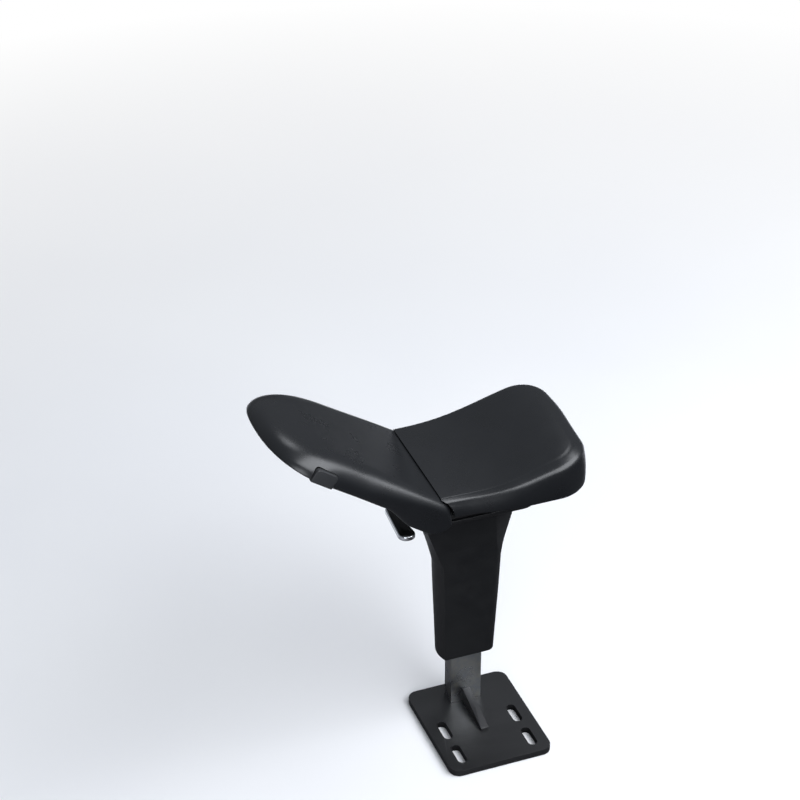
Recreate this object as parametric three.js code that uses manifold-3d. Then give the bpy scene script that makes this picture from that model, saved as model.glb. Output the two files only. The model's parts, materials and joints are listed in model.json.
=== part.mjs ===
// Adjustable chair armrest: a two-section pad whose front half tilts up, on a slide and swivel stack,
// on a flared sleeve that locks at several heights on a steel column.
// Millimetres, +Z up, -X towards the front (nose) of the pad, -Y towards the sitter.
// The origin is the centre of the column on the underside of the foot.
import * as THREE from "three";
import { mergeVertices } from "three/addons/utils/BufferGeometryUtils.js";
import Module from "manifold-3d";

const wasm = await Module();
wasm.setup();

// ---------------------------------------------------------------- driving dimensions

const GAP = 0.3; // clearance between neighbouring pieces
const DEGREE = Math.PI / 180;

// Pad
const PAD_TOP = 225; // height of the rear pad at the joint line
const JOINT_X = -37; // joint line between the two pad sections
const PAD_HALF_WIDTH = 50; // at the joint
const REAR_HALF_WIDTH = 56.5; // widest, near the rear end
const REAR_LENGTH = 116;
const REAR_WALL = 14; // height of the rear pad's side wall at the joint
const REAR_RISE = 17.8; // how much the rear pad's top climbs towards its end
const REAR_RISE_LENGTH = 113;
const REAR_RISE_DELAY = 1.3; // above 1, the climb starts later and ends faster
const REAR_CORNER = 27; // plan radius of the two rear corners
const REAR_EDGE = 6; // fillet along the rear pad's top edge
const REAR_WIDENING_LENGTH = 86; // the rear pad reaches its full width this far behind the joint

// Hinge between the sections
const HINGE_X = -42;
const HINGE_Z = 212;
const REST_TILT = 35; // degrees the front section is raised in the modelled pose
const KNUCKLE_RADIUS = 12.5;
const RECESS_RADIUS = 12.9;
const HINGE_PIN_RADIUS = 3;
const EAR_RADIUS = 8.5;
const EAR_Y = [24, 30]; // each rear ear, mirrored to the other side
const LUG_RADIUS = 8;
const LUG_Y = [
  [20, 23.6],
  [30.4, 34],
];
const BUSH_RADII = [3.2, 4.4];
const CLIP_RADII = [3.1, 5.2];

// Front section, in its own level frame with the hinge axis as origin and the nose towards -X
const NOSE_START = 94;
const NOSE_LENGTH = 42;
const NOSE_POWER = 2.4;
const FRONT_BOTTOM = -6.3;
const STEP_START = 14; // the lower edge steps down to the knuckle between these two distances
const STEP_END = 41;
const POCKET_END = 112;
const POCKET_HALF_WIDTH = 40;
const POCKET_TOP = 3;
const CAVITY_HALF_WIDTH = 38;
const BASE_PLATE = [0.7, 2.7];
const COVER_PLATE = [-6.3, -4.9];
const PLATE_EDGE = POCKET_HALF_WIDTH - 0.4; // half width of the base plate and the cover
const COVER_FRONT = -30;
const COVER_SCREWS = [
  [-40, -32],
  [-40, 32],
  [-104, -32],
  [-104, 32],
];

// Tilt lock
const SECTOR_Y = [-14, -10];
const SECTOR_TIP = 17;
const SECTOR_ROOT = 15.5;
const SECTOR_PITCH = REST_TILT / 6;
const SECTOR_NOTCHES = 7;
const SECTOR_TAIL_TOP = 208;
const LOCK_ANGLE = 215; // direction from the hinge to the pawl's tooth, in the front section's frame
const PAWL_PIVOT = [-21, -0.5];
const PAWL_PEG_DROP = 3.6; // the rod takes hold of the pawl this far below its pivot
const PAWL_Y = [-13.8, -10.2];
const PAWL_LUG_Y = [
  [-17.5, -14.3],
  [-7.2, -4.2],
];
const ROD_Y = [-9.6, -7.6];
const ROD_Z = [-4.3, -2.7];
const CRANK_PIVOT = [-108, -12.6];
const CRANK_PEG_ARM = 4;
const CRANK_TAB_ARM = 12;
const CRANK_ARM_HALF_WIDTH = 2;
const CRANK_Z = [-2.2, -0.6];
const TAB_X = [-107, -89];
const TAB_Z = [-7.2, 3.2];
const TAB_FACE_Y = -50.3;
const TAB_THICKNESS = 3.9;
const TAB_PROUD = 0.3;
const TAB_CORNER = 3;
const STEM_X = [-98, -94];
const STEM_Z = [-3, 0];

// Post
const SLEEVE_BOTTOM = 50;
const SLEEVE_TOP = 182;
const SLEEVE_BEND = 137; // the front and the rear start to flare out at this height
const SLEEVE_FULL_THICKNESS_Z = 118;
const SLEEVE_HALF_THICKNESS = 12;
const SLEEVE_BOTTOM_HALF_THICKNESS = 10.5;
const BORE_X = 15.3;
const BORE_Y = 8;
const COLUMN_X = 12;
const COLUMN_Y = 6.5;
const COLUMN_WALL = 2.5;
const COLUMN_TOP = 141;
const FOOT_THICKNESS = 5;
const FOOT_X = [-40, 40];
const FOOT_Y = [-80, 16];
const FOOT_SLOT_X = 28;
const FOOT_SLOT_Y = [-62, -34];
const RIB_END_Y = -44;
const LOCK_PITCH = 10; // spacing of the height windows
const LOCK_HEIGHT = 97; // height of the engaged window

// Height lever, its push rod and the pawl
const LEVER_PIVOT = [-22, 172];
const LEVER_CORNERS = [ // the paddle seen from above, anticlockwise: x, y and the corner's radius
  [-46, -21, 5],
  [-50.6, 19, 2.6],
  [-56.4, 19, 2.6],
  [-59, -21, 6],
];
const LEVER_Z = [176, 180];
const LEVER_RIM = 1.6; // width of the chrome band round the grip
const LEVER_FLOOR = 1.2; // thickness of the chrome under the grip
const PUSH_ROD_X = [-17.7, -16.7];
const PUSH_ROD_Y = [2.2, 4.2];
const HEIGHT_PAWL_PIVOT = [-14.6, 87.5];
const CHANNEL_X = -18; // front wall of the sleeve's channel for the rod and the pawl
const CHANNEL_BOTTOM = 83.5;

// Slide stack
const HEAD_PLATE_Z = [SLEEVE_TOP, 185];
const HEAD_PLATE_X = [-36, 50];
const HEAD_PLATE_CORNER = 14;
const HEAD_PLATE_HALF_WIDTH = 21;
const HEAD_SCREWS = [
  [-27.5, -8.5],
  [-27.5, 8.5],
  [24, -6],
  [24, 6],
];
const WASHER_Z = [185, 186.2];
const SWIVEL_PLATE_Z = [186.4, 190.4];
const CROSS_RAIL_Z = [190.4, 194.4];
const CARRIAGE_Z = [190.8, 197];
const CARRIAGE_X = [-30, 30];
const CARRIAGE_FLANGE_X = [-14, 30]; // shorter, so that the tilt sector can pass in front of it
const CARRIAGE_FLANGE_Z = [199.5, 202];
const TRACK_LIP_Z = [197.4, 199.1];
const TRACK_PLATE_Z = [202.4, 205.4];
const TRACK_X = [-24, 62];
const TRACK_HALF_WIDTH = 36;
const TRACK_SCREWS = [
  [-14, -31],
  [-14, 31],
  [52, -31],
  [52, 31],
];
const REAR_BASE_Z = [203, 210.7];
const REAR_BASE_X = [-28, 66];
const REAR_BASE_HALF_WIDTH = 39;
const STOP_PIN_X = 16.5;
const RAIL_X = [20, 25]; // each cross rail, mirrored to the other side
const RAIL_UNDERCUT = 0.9;

// ---------------------------------------------------------------- materials

function finish(color, roughness, metalness) {
  return new THREE.MeshStandardMaterial({ color, roughness, metalness });
}

const SKIN = () => finish(0x2b2c30, 0.42, 0);
const POLYMER = () => finish(0x1b1c1e, 0.5, 0);
const GLIDE = () => finish(0x3a3b3c, 0.6, 0);
const BLACK_STEEL = () => finish(0x17181a, 0.45, 0.6);
const ZINC = () => finish(0xb9bcc0, 0.35, 0.9);
const CHROME = () => finish(0xe6e8ea, 0.08, 1);
const SPRING_STEEL = () => finish(0x8d9094, 0.3, 0.9);

// ---------------------------------------------------------------- solids

function toSolid(geometry) {
  const bare = geometry.clone();
  bare.deleteAttribute("normal");
  bare.deleteAttribute("uv");
  const merged = mergeVertices(bare, 1e-4);
  return new wasm.Manifold(
    new wasm.Mesh({
      numProp: 3,
      vertProperties: new Float32Array(merged.attributes.position.array),
      triVerts: new Uint32Array(merged.index.array),
    }),
  );
}

function toGeometry(solid) {
  const mesh = solid.getMesh();
  const geometry = new THREE.BufferGeometry();
  geometry.setAttribute("position", new THREE.BufferAttribute(mesh.vertProperties, 3));
  geometry.setIndex(new THREE.BufferAttribute(mesh.triVerts, 1));
  return geometry;
}

// The first geometry, plus all in `added`, minus all in `removed`.
function combine(first, added, removed) {
  let solid = toSolid(first);
  for (const geometry of added) solid = solid.add(toSolid(geometry));
  for (const geometry of removed) solid = solid.subtract(toSolid(geometry));
  return toGeometry(solid);
}

// The part of space that both geometries fill.
function common(first, second) {
  return toGeometry(toSolid(first).intersect(toSolid(second)));
}

function box([x0, x1], [y0, y1], [z0, z1]) {
  const geometry = new THREE.BoxGeometry(x1 - x0, y1 - y0, z1 - z0);
  return geometry.translate((x0 + x1) / 2, (y0 + y1) / 2, (z0 + z1) / 2);
}

// Round bar along Z.
function roundZ(radius, [z0, z1], x, y, segments = 20) {
  const geometry = new THREE.CylinderGeometry(radius, radius, z1 - z0, segments);
  return geometry.rotateX(Math.PI / 2).translate(x, y, (z0 + z1) / 2);
}

// Round bar along Y.
function roundY(radius, [y0, y1], x, z, segments = 20) {
  const geometry = new THREE.CylinderGeometry(radius, radius, y1 - y0, segments);
  return geometry.translate(x, (y0 + y1) / 2, z);
}

// A shape drawn in X and Y, standing between two heights.
function plateZ(shape, [z0, z1], curveSegments = 8) {
  const settings = { depth: z1 - z0, bevelEnabled: false, curveSegments };
  return new THREE.ExtrudeGeometry(shape, settings).translate(0, 0, z0);
}

// A shape drawn in X and Z, running across from y0 to y1.
function plateY(shape, [y0, y1], curveSegments = 8) {
  const settings = { depth: y1 - y0, bevelEnabled: false, curveSegments };
  return new THREE.ExtrudeGeometry(shape, settings).rotateX(Math.PI / 2).translate(0, y1, 0);
}

// A shape drawn in X and Z, running across from -half to +half with both rims rounded.
function roundedPlateY(shape, half, radius, curveSegments = 8) {
  const settings = {
    depth: 2 * (half - radius),
    bevelSize: radius,
    bevelThickness: radius,
    bevelOffset: -radius,
    bevelSegments: 3,
    curveSegments,
  };
  const geometry = new THREE.ExtrudeGeometry(shape, settings);
  return geometry.translate(0, 0, radius - half).rotateX(Math.PI / 2);
}

function polygon(points) {
  return new THREE.Shape(points.map(([x, y]) => new THREE.Vector2(x, y)));
}

function roundedRectangle([x0, x1], [y0, y1], radius) {
  const shape = new THREE.Shape();
  shape.moveTo(x0 + radius, y0);
  shape.lineTo(x1 - radius, y0);
  shape.absarc(x1 - radius, y0 + radius, radius, -Math.PI / 2, 0);
  shape.lineTo(x1, y1 - radius);
  shape.absarc(x1 - radius, y1 - radius, radius, 0, Math.PI / 2);
  shape.lineTo(x0 + radius, y1);
  shape.absarc(x0 + radius, y1 - radius, radius, Math.PI / 2, Math.PI);
  shape.lineTo(x0, y0 + radius);
  shape.absarc(x0 + radius, y0 + radius, radius, Math.PI, 1.5 * Math.PI);
  return shape;
}

// The interval [near, far] on the given side of the middle.
function onSide(side, [near, far]) {
  return side > 0 ? [near, far] : [-far, -near];
}

function circleHole(radius, x, y) {
  const path = new THREE.Path();
  path.absarc(x, y, radius, 0, 2 * Math.PI);
  return path;
}

// Part of a flat ring about the point (x, y), between two directions in degrees.
function ringSector([x, y], [inner, outer], [from, to]) {
  const shape = new THREE.Shape();
  shape.absarc(x, y, outer, from * DEGREE, to * DEGREE, false);
  shape.absarc(x, y, inner, to * DEGREE, from * DEGREE, true);
  return shape;
}

// A ring turned about Y, for bushes and clips.
function ringY([inner, outer], [y0, y1], x, z, segments = 20) {
  const profile = [
    [inner, y0],
    [outer, y0],
    [outer, y1],
    [inner, y1],
    [inner, y0],
  ].map(([r, y]) => new THREE.Vector2(r, y));
  return new THREE.LatheGeometry(profile, segments).translate(x, 0, z);
}

// A solid turned about Z from [radius, height] pairs that start and end on the axis.
function turnedZ(pairs, x, y, segments = 18) {
  const profile = pairs.map(([r, z]) => new THREE.Vector2(r, z));
  return new THREE.LatheGeometry(profile, segments).rotateX(Math.PI / 2).translate(x, y, 0);
}

// A coil spring whose wire follows a helix about Y.
function coilY(coilRadius, wireRadius, [y0, y1], turns, x, z) {
  const points = [];
  const perTurn = 8;
  for (let i = 0; i <= turns * perTurn; i += 1) {
    const angle = (i / perTurn) * 2 * Math.PI;
    const y = y0 + wireRadius + ((y1 - y0 - 2 * wireRadius) * i) / (turns * perTurn);
    const across = x + coilRadius * Math.cos(angle);
    points.push(new THREE.Vector3(across, y, z + coilRadius * Math.sin(angle)));
  }
  const wire = new THREE.Shape();
  wire.absarc(0, 0, wireRadius, 0, 2 * Math.PI);
  return new THREE.ExtrudeGeometry(wire, {
    steps: turns * perTurn,
    curveSegments: 5,
    extrudePath: new THREE.CatmullRomCurve3(points),
  });
}

// Moves every vertex of a unit box, given as three numbers from 0 to 1, to where `place` puts it.
function mappedBox([nx, ny, nz], place) {
  const geometry = new THREE.BoxGeometry(1, 1, 1, nx, ny, nz);
  const position = geometry.attributes.position;
  for (let i = 0; i < position.count; i += 1) {
    const [x, y, z] = place(position.getX(i) + 0.5, position.getY(i) + 0.5, position.getZ(i) + 0.5);
    position.setXYZ(i, x, y, z);
  }
  return geometry;
}

function smooth(t) {
  const clamped = Math.min(1, Math.max(0, t));
  return clamped * clamped * (3 - 2 * clamped);
}

// Spreads -1..1 so that more of it lies near the two ends.
function towardsEdges(t) {
  const side = 2 * t - 1;
  return Math.sign(side) * (1 - (1 - Math.abs(side)) ** 2);
}

// How far a rounded edge has dropped at a distance in from the outline.
function edgeDrop(distance, reach, depth) {
  const inward = Math.min(1, Math.max(0, distance / reach));
  return depth * (1 - Math.sqrt(1 - (1 - inward) ** 2));
}

// ---------------------------------------------------------------- pad: rear section

function rearHalfWidth(x) {
  const along = Math.min(1, (x - JOINT_X) / REAR_WIDENING_LENGTH);
  const widening = REAR_HALF_WIDTH - PAD_HALF_WIDTH;
  return PAD_HALF_WIDTH + (widening * (1 - Math.cos(Math.PI * along))) / 2;
}

function rearTop(x) {
  const along = Math.min(1, (x - JOINT_X) / REAR_RISE_LENGTH);
  return PAD_TOP + (REAR_RISE * (1 - Math.cos(Math.PI * along ** REAR_RISE_DELAY))) / 2;
}

function rearCushion() {
  const end = JOINT_X + REAR_LENGTH;
  const cornerX = end - REAR_CORNER;
  const bottom = PAD_TOP - REAR_WALL;
  const straightShare = 0.7;
  const tuck = 2;
  const body = mappedBox([20, 14, 3], (s, v, q) => {
    const turn = Math.max(0, (s - straightShare) / (1 - straightShare)) * (Math.PI / 2);
    const x = s < straightShare
      ? JOINT_X + ((cornerX - JOINT_X) * s) / straightShare
      : cornerX + REAR_CORNER * Math.sin(turn);
    const half = rearHalfWidth(x);
    const halfHere = half - REAR_CORNER * (1 - Math.cos(turn));
    const y = towardsEdges(v) * halfHere;
    const overX = Math.max(0, x - cornerX);
    const overY = Math.max(0, Math.abs(y) - (half - REAR_CORNER));
    const distance = REAR_CORNER - Math.hypot(overX, overY);
    const top = rearTop(x) - edgeDrop(distance, REAR_EDGE, REAR_EDGE);
    const pull = q === 0 ? 1 - tuck / half : 1;
    return [x > 0 ? x * pull : x, y * pull, bottom + (top - bottom) * q];
  });
  const recess = roundY(RECESS_RADIUS, [-60, 60], HINGE_X, HINGE_Z, 64);
  return combine(body, [], [recess]);
}

function earShape() {
  const shape = new THREE.Shape();
  shape.absarc(HINGE_X, HINGE_Z, EAR_RADIUS, 0, 2 * Math.PI);
  return shape;
}

function rearBase() {
  const halfWidth = REAR_BASE_HALF_WIDTH;
  const plate = plateZ(roundedRectangle(REAR_BASE_X, [-halfWidth, halfWidth], 14), REAR_BASE_Z);
  const below = REAR_BASE_Z[0] - 1;
  const added = [];
  const removed = [
    box(
      [TRACK_X[0] - GAP, TRACK_X[1] + GAP],
      [-TRACK_HALF_WIDTH - GAP, TRACK_HALF_WIDTH + GAP],
      [below, TRACK_PLATE_Z[1]],
    ),
    box([REAR_BASE_X[0] - 1, -20], [SECTOR_Y[0] - GAP, SECTOR_Y[1] + GAP], [below, SECTOR_TAIL_TOP + GAP]),
  ];
  for (const side of [-1, 1]) {
    const across = onSide(side, EAR_Y);
    added.push(plateY(earShape(), across, 8));
    added.push(box([HINGE_X, REAR_BASE_X[0] + 3], across, REAR_BASE_Z));
    removed.push(roundY(BUSH_RADII[1] + 0.15, [across[0] - 1, across[1] + 1], HINGE_X, HINGE_Z, 16));
  }
  for (const [x, y] of TRACK_SCREWS) removed.push(roundZ(2.2, [204, 209.5], x, y));
  return combine(plate, added, removed);
}

function tiltSector() {
  const centre = [HINGE_X, HINGE_Z];
  const first = 180; // direction of the notch engaged in the modelled pose
  const last = first + SECTOR_PITCH * (SECTOR_NOTCHES - 1);
  const toothed = plateY(ringSector(centre, [10, SECTOR_TIP], [first - 4, last + 5]), SECTOR_Y, 12);
  const arm = plateY(ringSector(centre, [10, 14], [last, 322]), SECTOR_Y, 14);
  const tail = box([HINGE_X + 10, TRACK_X[0] - GAP], SECTOR_Y, [REAR_BASE_Z[0], SECTOR_TAIL_TOP]);
  const notches = [];
  for (let i = 0; i < SECTOR_NOTCHES; i += 1) {
    const direction = first + i * SECTOR_PITCH;
    notches.push(tooth(centre, direction, [SECTOR_ROOT, SECTOR_TIP + 0.4], 0.85, [-15, -9]));
  }
  return combine(toothed, [arm, tail], notches);
}

// A wedge that points at the centre from the given direction, between two distances from it.
function tooth([x, z], direction, [apex, back], halfWidth, across) {
  const c = Math.cos(direction * DEGREE);
  const s = Math.sin(direction * DEGREE);
  const at = (r, side) => [x + r * c - side * s, z + r * s + side * c];
  return plateY(polygon([at(apex, 0), at(back, -halfWidth), at(back, halfWidth)].reverse()), across);
}

function hingeBush(side) {
  return ringY(BUSH_RADII, onSide(side, EAR_Y), HINGE_X, HINGE_Z, 16);
}

// ---------------------------------------------------------------- pad: front section

function noseHalfWidth(distance) {
  const along = Math.max(0, distance - NOSE_START) / NOSE_LENGTH;
  return PAD_HALF_WIDTH * (1 - along ** NOSE_POWER) ** (1 / NOSE_POWER);
}

function frontTopBody() {
  const straightShare = 0.6;
  const start = 4;
  return mappedBox([22, 14, 2], (s, v, q) => {
    const turn = Math.max(0, (s - straightShare) / (1 - straightShare)) * (86 * DEGREE);
    const distance = s < straightShare
      ? start + ((NOSE_START - start) * s) / straightShare
      : NOSE_START + NOSE_LENGTH * Math.sin(turn) ** (2 / NOSE_POWER);
    const y = towardsEdges(v) * noseHalfWidth(distance);
    const along = (Math.max(0, distance - NOSE_START) / NOSE_LENGTH) ** NOSE_POWER;
    const across = (Math.abs(y) / PAD_HALF_WIDTH) ** NOSE_POWER;
    const fullness = (along + across) ** (1 / NOSE_POWER);
    const reach = 5 + 15 * smooth(distance / 115);
    const depth = 5 + 11 * smooth(distance / 120);
    const top = KNUCKLE_RADIUS - edgeDrop((1 - fullness) * PAD_HALF_WIDTH, reach, depth);
    return [-distance, -y, FRONT_BOTTOM + (top - FRONT_BOTTOM) * q];
  });
}

function knuckleProfile() {
  const shape = new THREE.Shape();
  shape.moveTo(-6, KNUCKLE_RADIUS);
  shape.lineTo(-6, 4);
  shape.lineTo(-STEP_END, 0);
  const steps = 8;
  for (let i = 0; i <= steps; i += 1) {
    const x = STEP_END - ((STEP_END - STEP_START) * i) / steps;
    const depth = FRONT_BOTTOM - (KNUCKLE_RADIUS + FRONT_BOTTOM) * smooth(i / steps);
    shape.lineTo(-x, depth);
  }
  shape.lineTo(0, -KNUCKLE_RADIUS);
  shape.absarc(0, 0, KNUCKLE_RADIUS, -Math.PI / 2, Math.PI / 2);
  return shape;
}

function frontCushion() {
  const knuckle = roundedPlateY(knuckleProfile(), PAD_HALF_WIDTH, 2, 12);
  const cavity = [-CAVITY_HALF_WIDTH, CAVITY_HALF_WIDTH];
  const removed = [
    roundY(9.8, cavity, 0, 0, 36),
    plateY(ringSector([0, 0], [1, 17], [-95, 40]), cavity, 12),
    box([-13, 0], cavity, [-20, POCKET_TOP]),
    box([-POCKET_END, -12], [-POCKET_HALF_WIDTH, POCKET_HALF_WIDTH], [-20, POCKET_TOP]),
    box([TAB_X[0] - GAP, TAB_X[1] + GAP], [-60, 1 - POCKET_HALF_WIDTH], [-20, TAB_Z[1] + GAP]),
  ];
  return combine(frontTopBody(), [knuckle], removed);
}

function lugShape() {
  const shape = new THREE.Shape();
  shape.moveTo(-18, -5);
  shape.lineTo(-6.2, -5);
  shape.absarc(0, 0, LUG_RADIUS, 219 * DEGREE, 520 * DEGREE);
  shape.lineTo(-18, BASE_PLATE[1]);
  return shape;
}

function frontBase() {
  const outline = roundedRectangle([0.4 - POCKET_END, -14], [-PLATE_EDGE, PLATE_EDGE], 5);
  const plate = plateZ(outline, BASE_PLATE);
  const added = [];
  const removed = [box([-26, -10], [-14.2, -7.4], [-10, 10])];
  for (const side of [-1, 1]) {
    for (const span of LUG_Y) added.push(plateY(lugShape(), onSide(side, span), 9));
  }
  removed.push(roundY(3.2, [-40, 40], 0, 0, 16));
  const [pawlX, pawlZ] = PAWL_PIVOT;
  for (const across of PAWL_LUG_Y) {
    added.push(roundY(3, across, pawlX, pawlZ, 16));
    added.push(box([pawlX - 3, pawlX + 3], across, [pawlZ, BASE_PLATE[1]]));
  }
  removed.push(roundY(1.6, [-20, -3], pawlX, pawlZ, 16));
  for (const [x, y] of COVER_SCREWS) {
    added.push(roundZ(3.5, [COVER_PLATE[1] + 0.2, BASE_PLATE[0] + 0.5], x, y, 12));
    removed.push(roundZ(1.7, [-8, 1.6], x, y, 12));
  }
  added.push(box([-102, -90], [-39.5, -37.5], [COVER_PLATE[1] + 0.3, BASE_PLATE[0] + 0.5]));
  removed.push(box([-98.4, -93.6], [-41, -36], [-3.4, 0.4]));
  removed.push(roundZ(1.65, [-1, 5], CRANK_PIVOT[0], CRANK_PIVOT[1], 16));
  return combine(plate, added, removed);
}

function frontCover() {
  const shape = roundedRectangle([0.4 - POCKET_END, COVER_FRONT], [-PLATE_EDGE, PLATE_EDGE], 5);
  for (const [x, y] of COVER_SCREWS) shape.holes.push(circleHole(1.8, x, y));
  return plateZ(shape, COVER_PLATE, 5);
}

function coverScrew([x, y]) {
  const [under] = COVER_PLATE;
  const profile = [
    [0, under - 1.5],
    [2.2, under - 1.5],
    [3, under - 0.6],
    [3, under],
    [1.5, under],
    [1.5, 0.4],
    [0, 1.2],
  ];
  return turnedZ(profile, x, y, 14);
}

function tiltPawl() {
  const [px, pz] = PAWL_PIVOT;
  const c = Math.cos(LOCK_ANGLE * DEGREE);
  const s = Math.sin(LOCK_ANGLE * DEGREE);
  const at = (r, side) => [r * c - side * s, r * s + side * c];
  const outline = polygon([
    [px + 2.6, pz - 1.5],
    at(16.5, 1.6),
    at(20.6, 1.6),
    at(20.6, -2),
    [px - 2.9, pz - 0.6],
  ]);
  const body = plateY(outline, PAWL_Y);
  const boss = roundY(3, PAWL_Y, px, pz, 18);
  const peg = roundY(1, [PAWL_Y[1] - 1, ROD_Y[1] + 0.2], px, pz - PAWL_PEG_DROP, 12);
  const clear = roundY(SECTOR_TIP + 0.35, [-20, 0], 0, 0, 90);
  const bite = tooth([0, 0], LOCK_ANGLE, [15.95, SECTOR_TIP + 1.4], 0.95, PAWL_Y);
  const cutBody = combine(body, [boss], [clear]);
  const spindle = roundY(1.65, [-20, 0], px, pz, 16);
  return combine(cutBody, [bite, peg], [spindle]);
}

function releaseRod() {
  const bar = box([CRANK_PIVOT[0], PAWL_PIVOT[0]], ROD_Y, ROD_Z);
  const eyeZ = PAWL_PIVOT[1] - PAWL_PEG_DROP;
  const pawlEye = roundY(1.9, ROD_Y, PAWL_PIVOT[0], eyeZ, 16);
  const crankEye = roundZ(2.2, ROD_Z, CRANK_PIVOT[0], CRANK_PIVOT[1] + CRANK_PEG_ARM, 16);
  const removed = [
    roundY(1.35, [-12, -5], PAWL_PIVOT[0], eyeZ, 12),
    roundZ(1.4, [-6, 0], CRANK_PIVOT[0], CRANK_PIVOT[1] + CRANK_PEG_ARM, 12),
  ];
  return combine(bar, [pawlEye, crankEye], removed);
}

function releaseCrank() {
  const [x, y] = CRANK_PIVOT;
  const armEnd = x + CRANK_TAB_ARM - 1;
  const half = CRANK_ARM_HALF_WIDTH;
  const boss = roundZ(3, CRANK_Z, x, y, 18);
  const added = [
    box([x, armEnd], [y - half, y + half], CRANK_Z),
    roundZ(half, CRANK_Z, armEnd, y, 14),
    roundZ(2, CRANK_Z, x, y + CRANK_PEG_ARM, 14),
    roundZ(1.05, [-4.2, CRANK_Z[1]], x, y + CRANK_PEG_ARM, 12),
  ];
  return combine(boss, added, [roundZ(1.65, [-4, 1], x, y, 16)]);
}

// The tab's plan, whose face stands just proud of the pad's curved side.
function tabPlan() {
  const points = [];
  const steps = 6;
  for (let i = 0; i <= steps; i += 1) {
    const x = TAB_X[0] + ((TAB_X[1] - TAB_X[0]) * i) / steps;
    points.push([x, -noseHalfWidth(-x) - TAB_PROUD]);
  }
  const [x0, x1] = TAB_X;
  const back = TAB_FACE_Y + TAB_THICKNESS;
  return polygon([...points, [x1, back], [x0, back]]);
}

function releaseTab() {
  const [x0, x1] = TAB_X;
  const [z0, z1] = TAB_Z;
  const shape = new THREE.Shape();
  shape.moveTo(x0, z0);
  shape.lineTo(x1, z0);
  shape.absarc(x1 - TAB_CORNER, z1 - TAB_CORNER, TAB_CORNER, 0, Math.PI / 2);
  shape.absarc(x0 + TAB_CORNER, z1 - TAB_CORNER, TAB_CORNER, Math.PI / 2, Math.PI);
  const upright = plateY(shape, [TAB_FACE_Y - 1, TAB_FACE_Y + TAB_THICKNESS + 1], 5);
  const button = common(upright, plateZ(tabPlan(), [z0 - 1, z1 + 1]));
  const crankSide = CRANK_PIVOT[1] - CRANK_ARM_HALF_WIDTH;
  const stem = box(STEM_X, [TAB_FACE_Y + 2, crankSide - 1.5 * GAP], STEM_Z);
  return combine(button, [stem], []);
}

// ---------------------------------------------------------------- slide and swivel stack

function topTrack() {
  const across = [-TRACK_HALF_WIDTH, TRACK_HALF_WIDTH];
  const plate = plateZ(roundedRectangle(TRACK_X, across, 6), TRACK_PLATE_Z, 4);
  const added = [];
  for (const side of [-1, 1]) {
    added.push(box(TRACK_X, onSide(side, [20.4, 24]), [TRACK_LIP_Z[0], TRACK_PLATE_Z[0] + 1]));
    added.push(box(TRACK_X, onSide(side, [14.6, 24]), TRACK_LIP_Z));
  }
  const removed = TRACK_SCREWS.map(([x, y]) => roundZ(2.3, [200, 208], x, y, 10));
  return combine(plate, added, removed);
}

function trackScrew([x, y]) {
  const under = TRACK_PLATE_Z[0];
  const profile = [
    [0, under - 2.4],
    [2.6, under - 2.4],
    [4, under - 1],
    [4, under],
    [2, under],
    [2, 208],
    [0, 208.8],
  ];
  return turnedZ(profile, x, y, 16);
}

// A rail's dovetail section, or with `grow` the groove that runs on it.
function railProfile(side, grow) {
  const [z0, z1] = CROSS_RAIL_Z;
  const inner = side * RAIL_X[0];
  const outer = side * RAIL_X[1];
  const narrow = side * RAIL_UNDERCUT;
  const wide = side * grow;
  const points = [
    [inner + narrow - wide, z0 - grow],
    [outer - narrow + wide, z0 - grow],
    [outer + wide, z1 + grow],
    [inner - wide, z1 + grow],
  ];
  return polygon(side > 0 ? points : points.reverse());
}

function crossRail(side) {
  return plateY(railProfile(side, 0), [-20, 20]);
}

function swivelPlate() {
  const shape = roundedRectangle([-30, 30], [-20, 20], 8);
  shape.holes.push(circleHole(4.5, 0, 0));
  const plate = plateZ(shape, SWIVEL_PLATE_Z, 8);
  const slotRadii = [STOP_PIN_X - 2.2, STOP_PIN_X + 2.2];
  const slot = plateZ(ringSector([0, 0], slotRadii, [-28, 28]), [180, 195], 8);
  return combine(plate, [], [slot]);
}

function sideCarriage() {
  const block = box(CARRIAGE_X, [-20, 20], CARRIAGE_Z);
  const neck = box(CARRIAGE_FLANGE_X, [-14, 14], [CARRIAGE_Z[1] - 1, CARRIAGE_FLANGE_Z[0] + 0.5]);
  const flange = box(CARRIAGE_FLANGE_X, [-18.5, 18.5], CARRIAGE_FLANGE_Z);
  const removed = [
    plateY(railProfile(-1, 0.35), [-30, 30]),
    plateY(railProfile(1, 0.35), [-30, 30]),
    box([-7.2, 7.2], [-30, 30], [180, 195]),
  ];
  return combine(block, [neck, flange], removed);
}

function trackGlide(side) {
  const [x0, x1] = CARRIAGE_FLANGE_X;
  const [z0, z1] = CARRIAGE_FLANGE_Z;
  return box([x0 + 1, x1 - 1], onSide(side, [18.6, 20.1]), [z0 + 0.2, z1 - 0.2]);
}

function headPlate() {
  const across = [-HEAD_PLATE_HALF_WIDTH, HEAD_PLATE_HALF_WIDTH];
  const shape = roundedRectangle(HEAD_PLATE_X, across, HEAD_PLATE_CORNER);
  shape.holes.push(circleHole(4.3, 0, 0));
  shape.holes.push(circleHole(2, STOP_PIN_X, 0));
  const plate = plateZ(shape, HEAD_PLATE_Z, 8);
  const removed = HEAD_SCREWS.map(([x, y]) => countersink(x, y, 0.25));
  return combine(plate, [], removed);
}

// The body of a countersunk screw, or with `grow` the hole that takes it.
function countersink(x, y, grow) {
  const [end, top] = [174, HEAD_PLATE_Z[1]];
  const shank = 1.8 + grow;
  const head = 3.8 + grow;
  const profile = [
    [0, end - grow],
    [shank, end - grow],
    [shank, top - 2.2],
    [head, top],
  ];
  const above = grow > 0 ? [[head, top + 1], [0, top + 1]] : [[0, top]];
  return turnedZ(profile.concat(above), x, y, 16);
}

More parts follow.
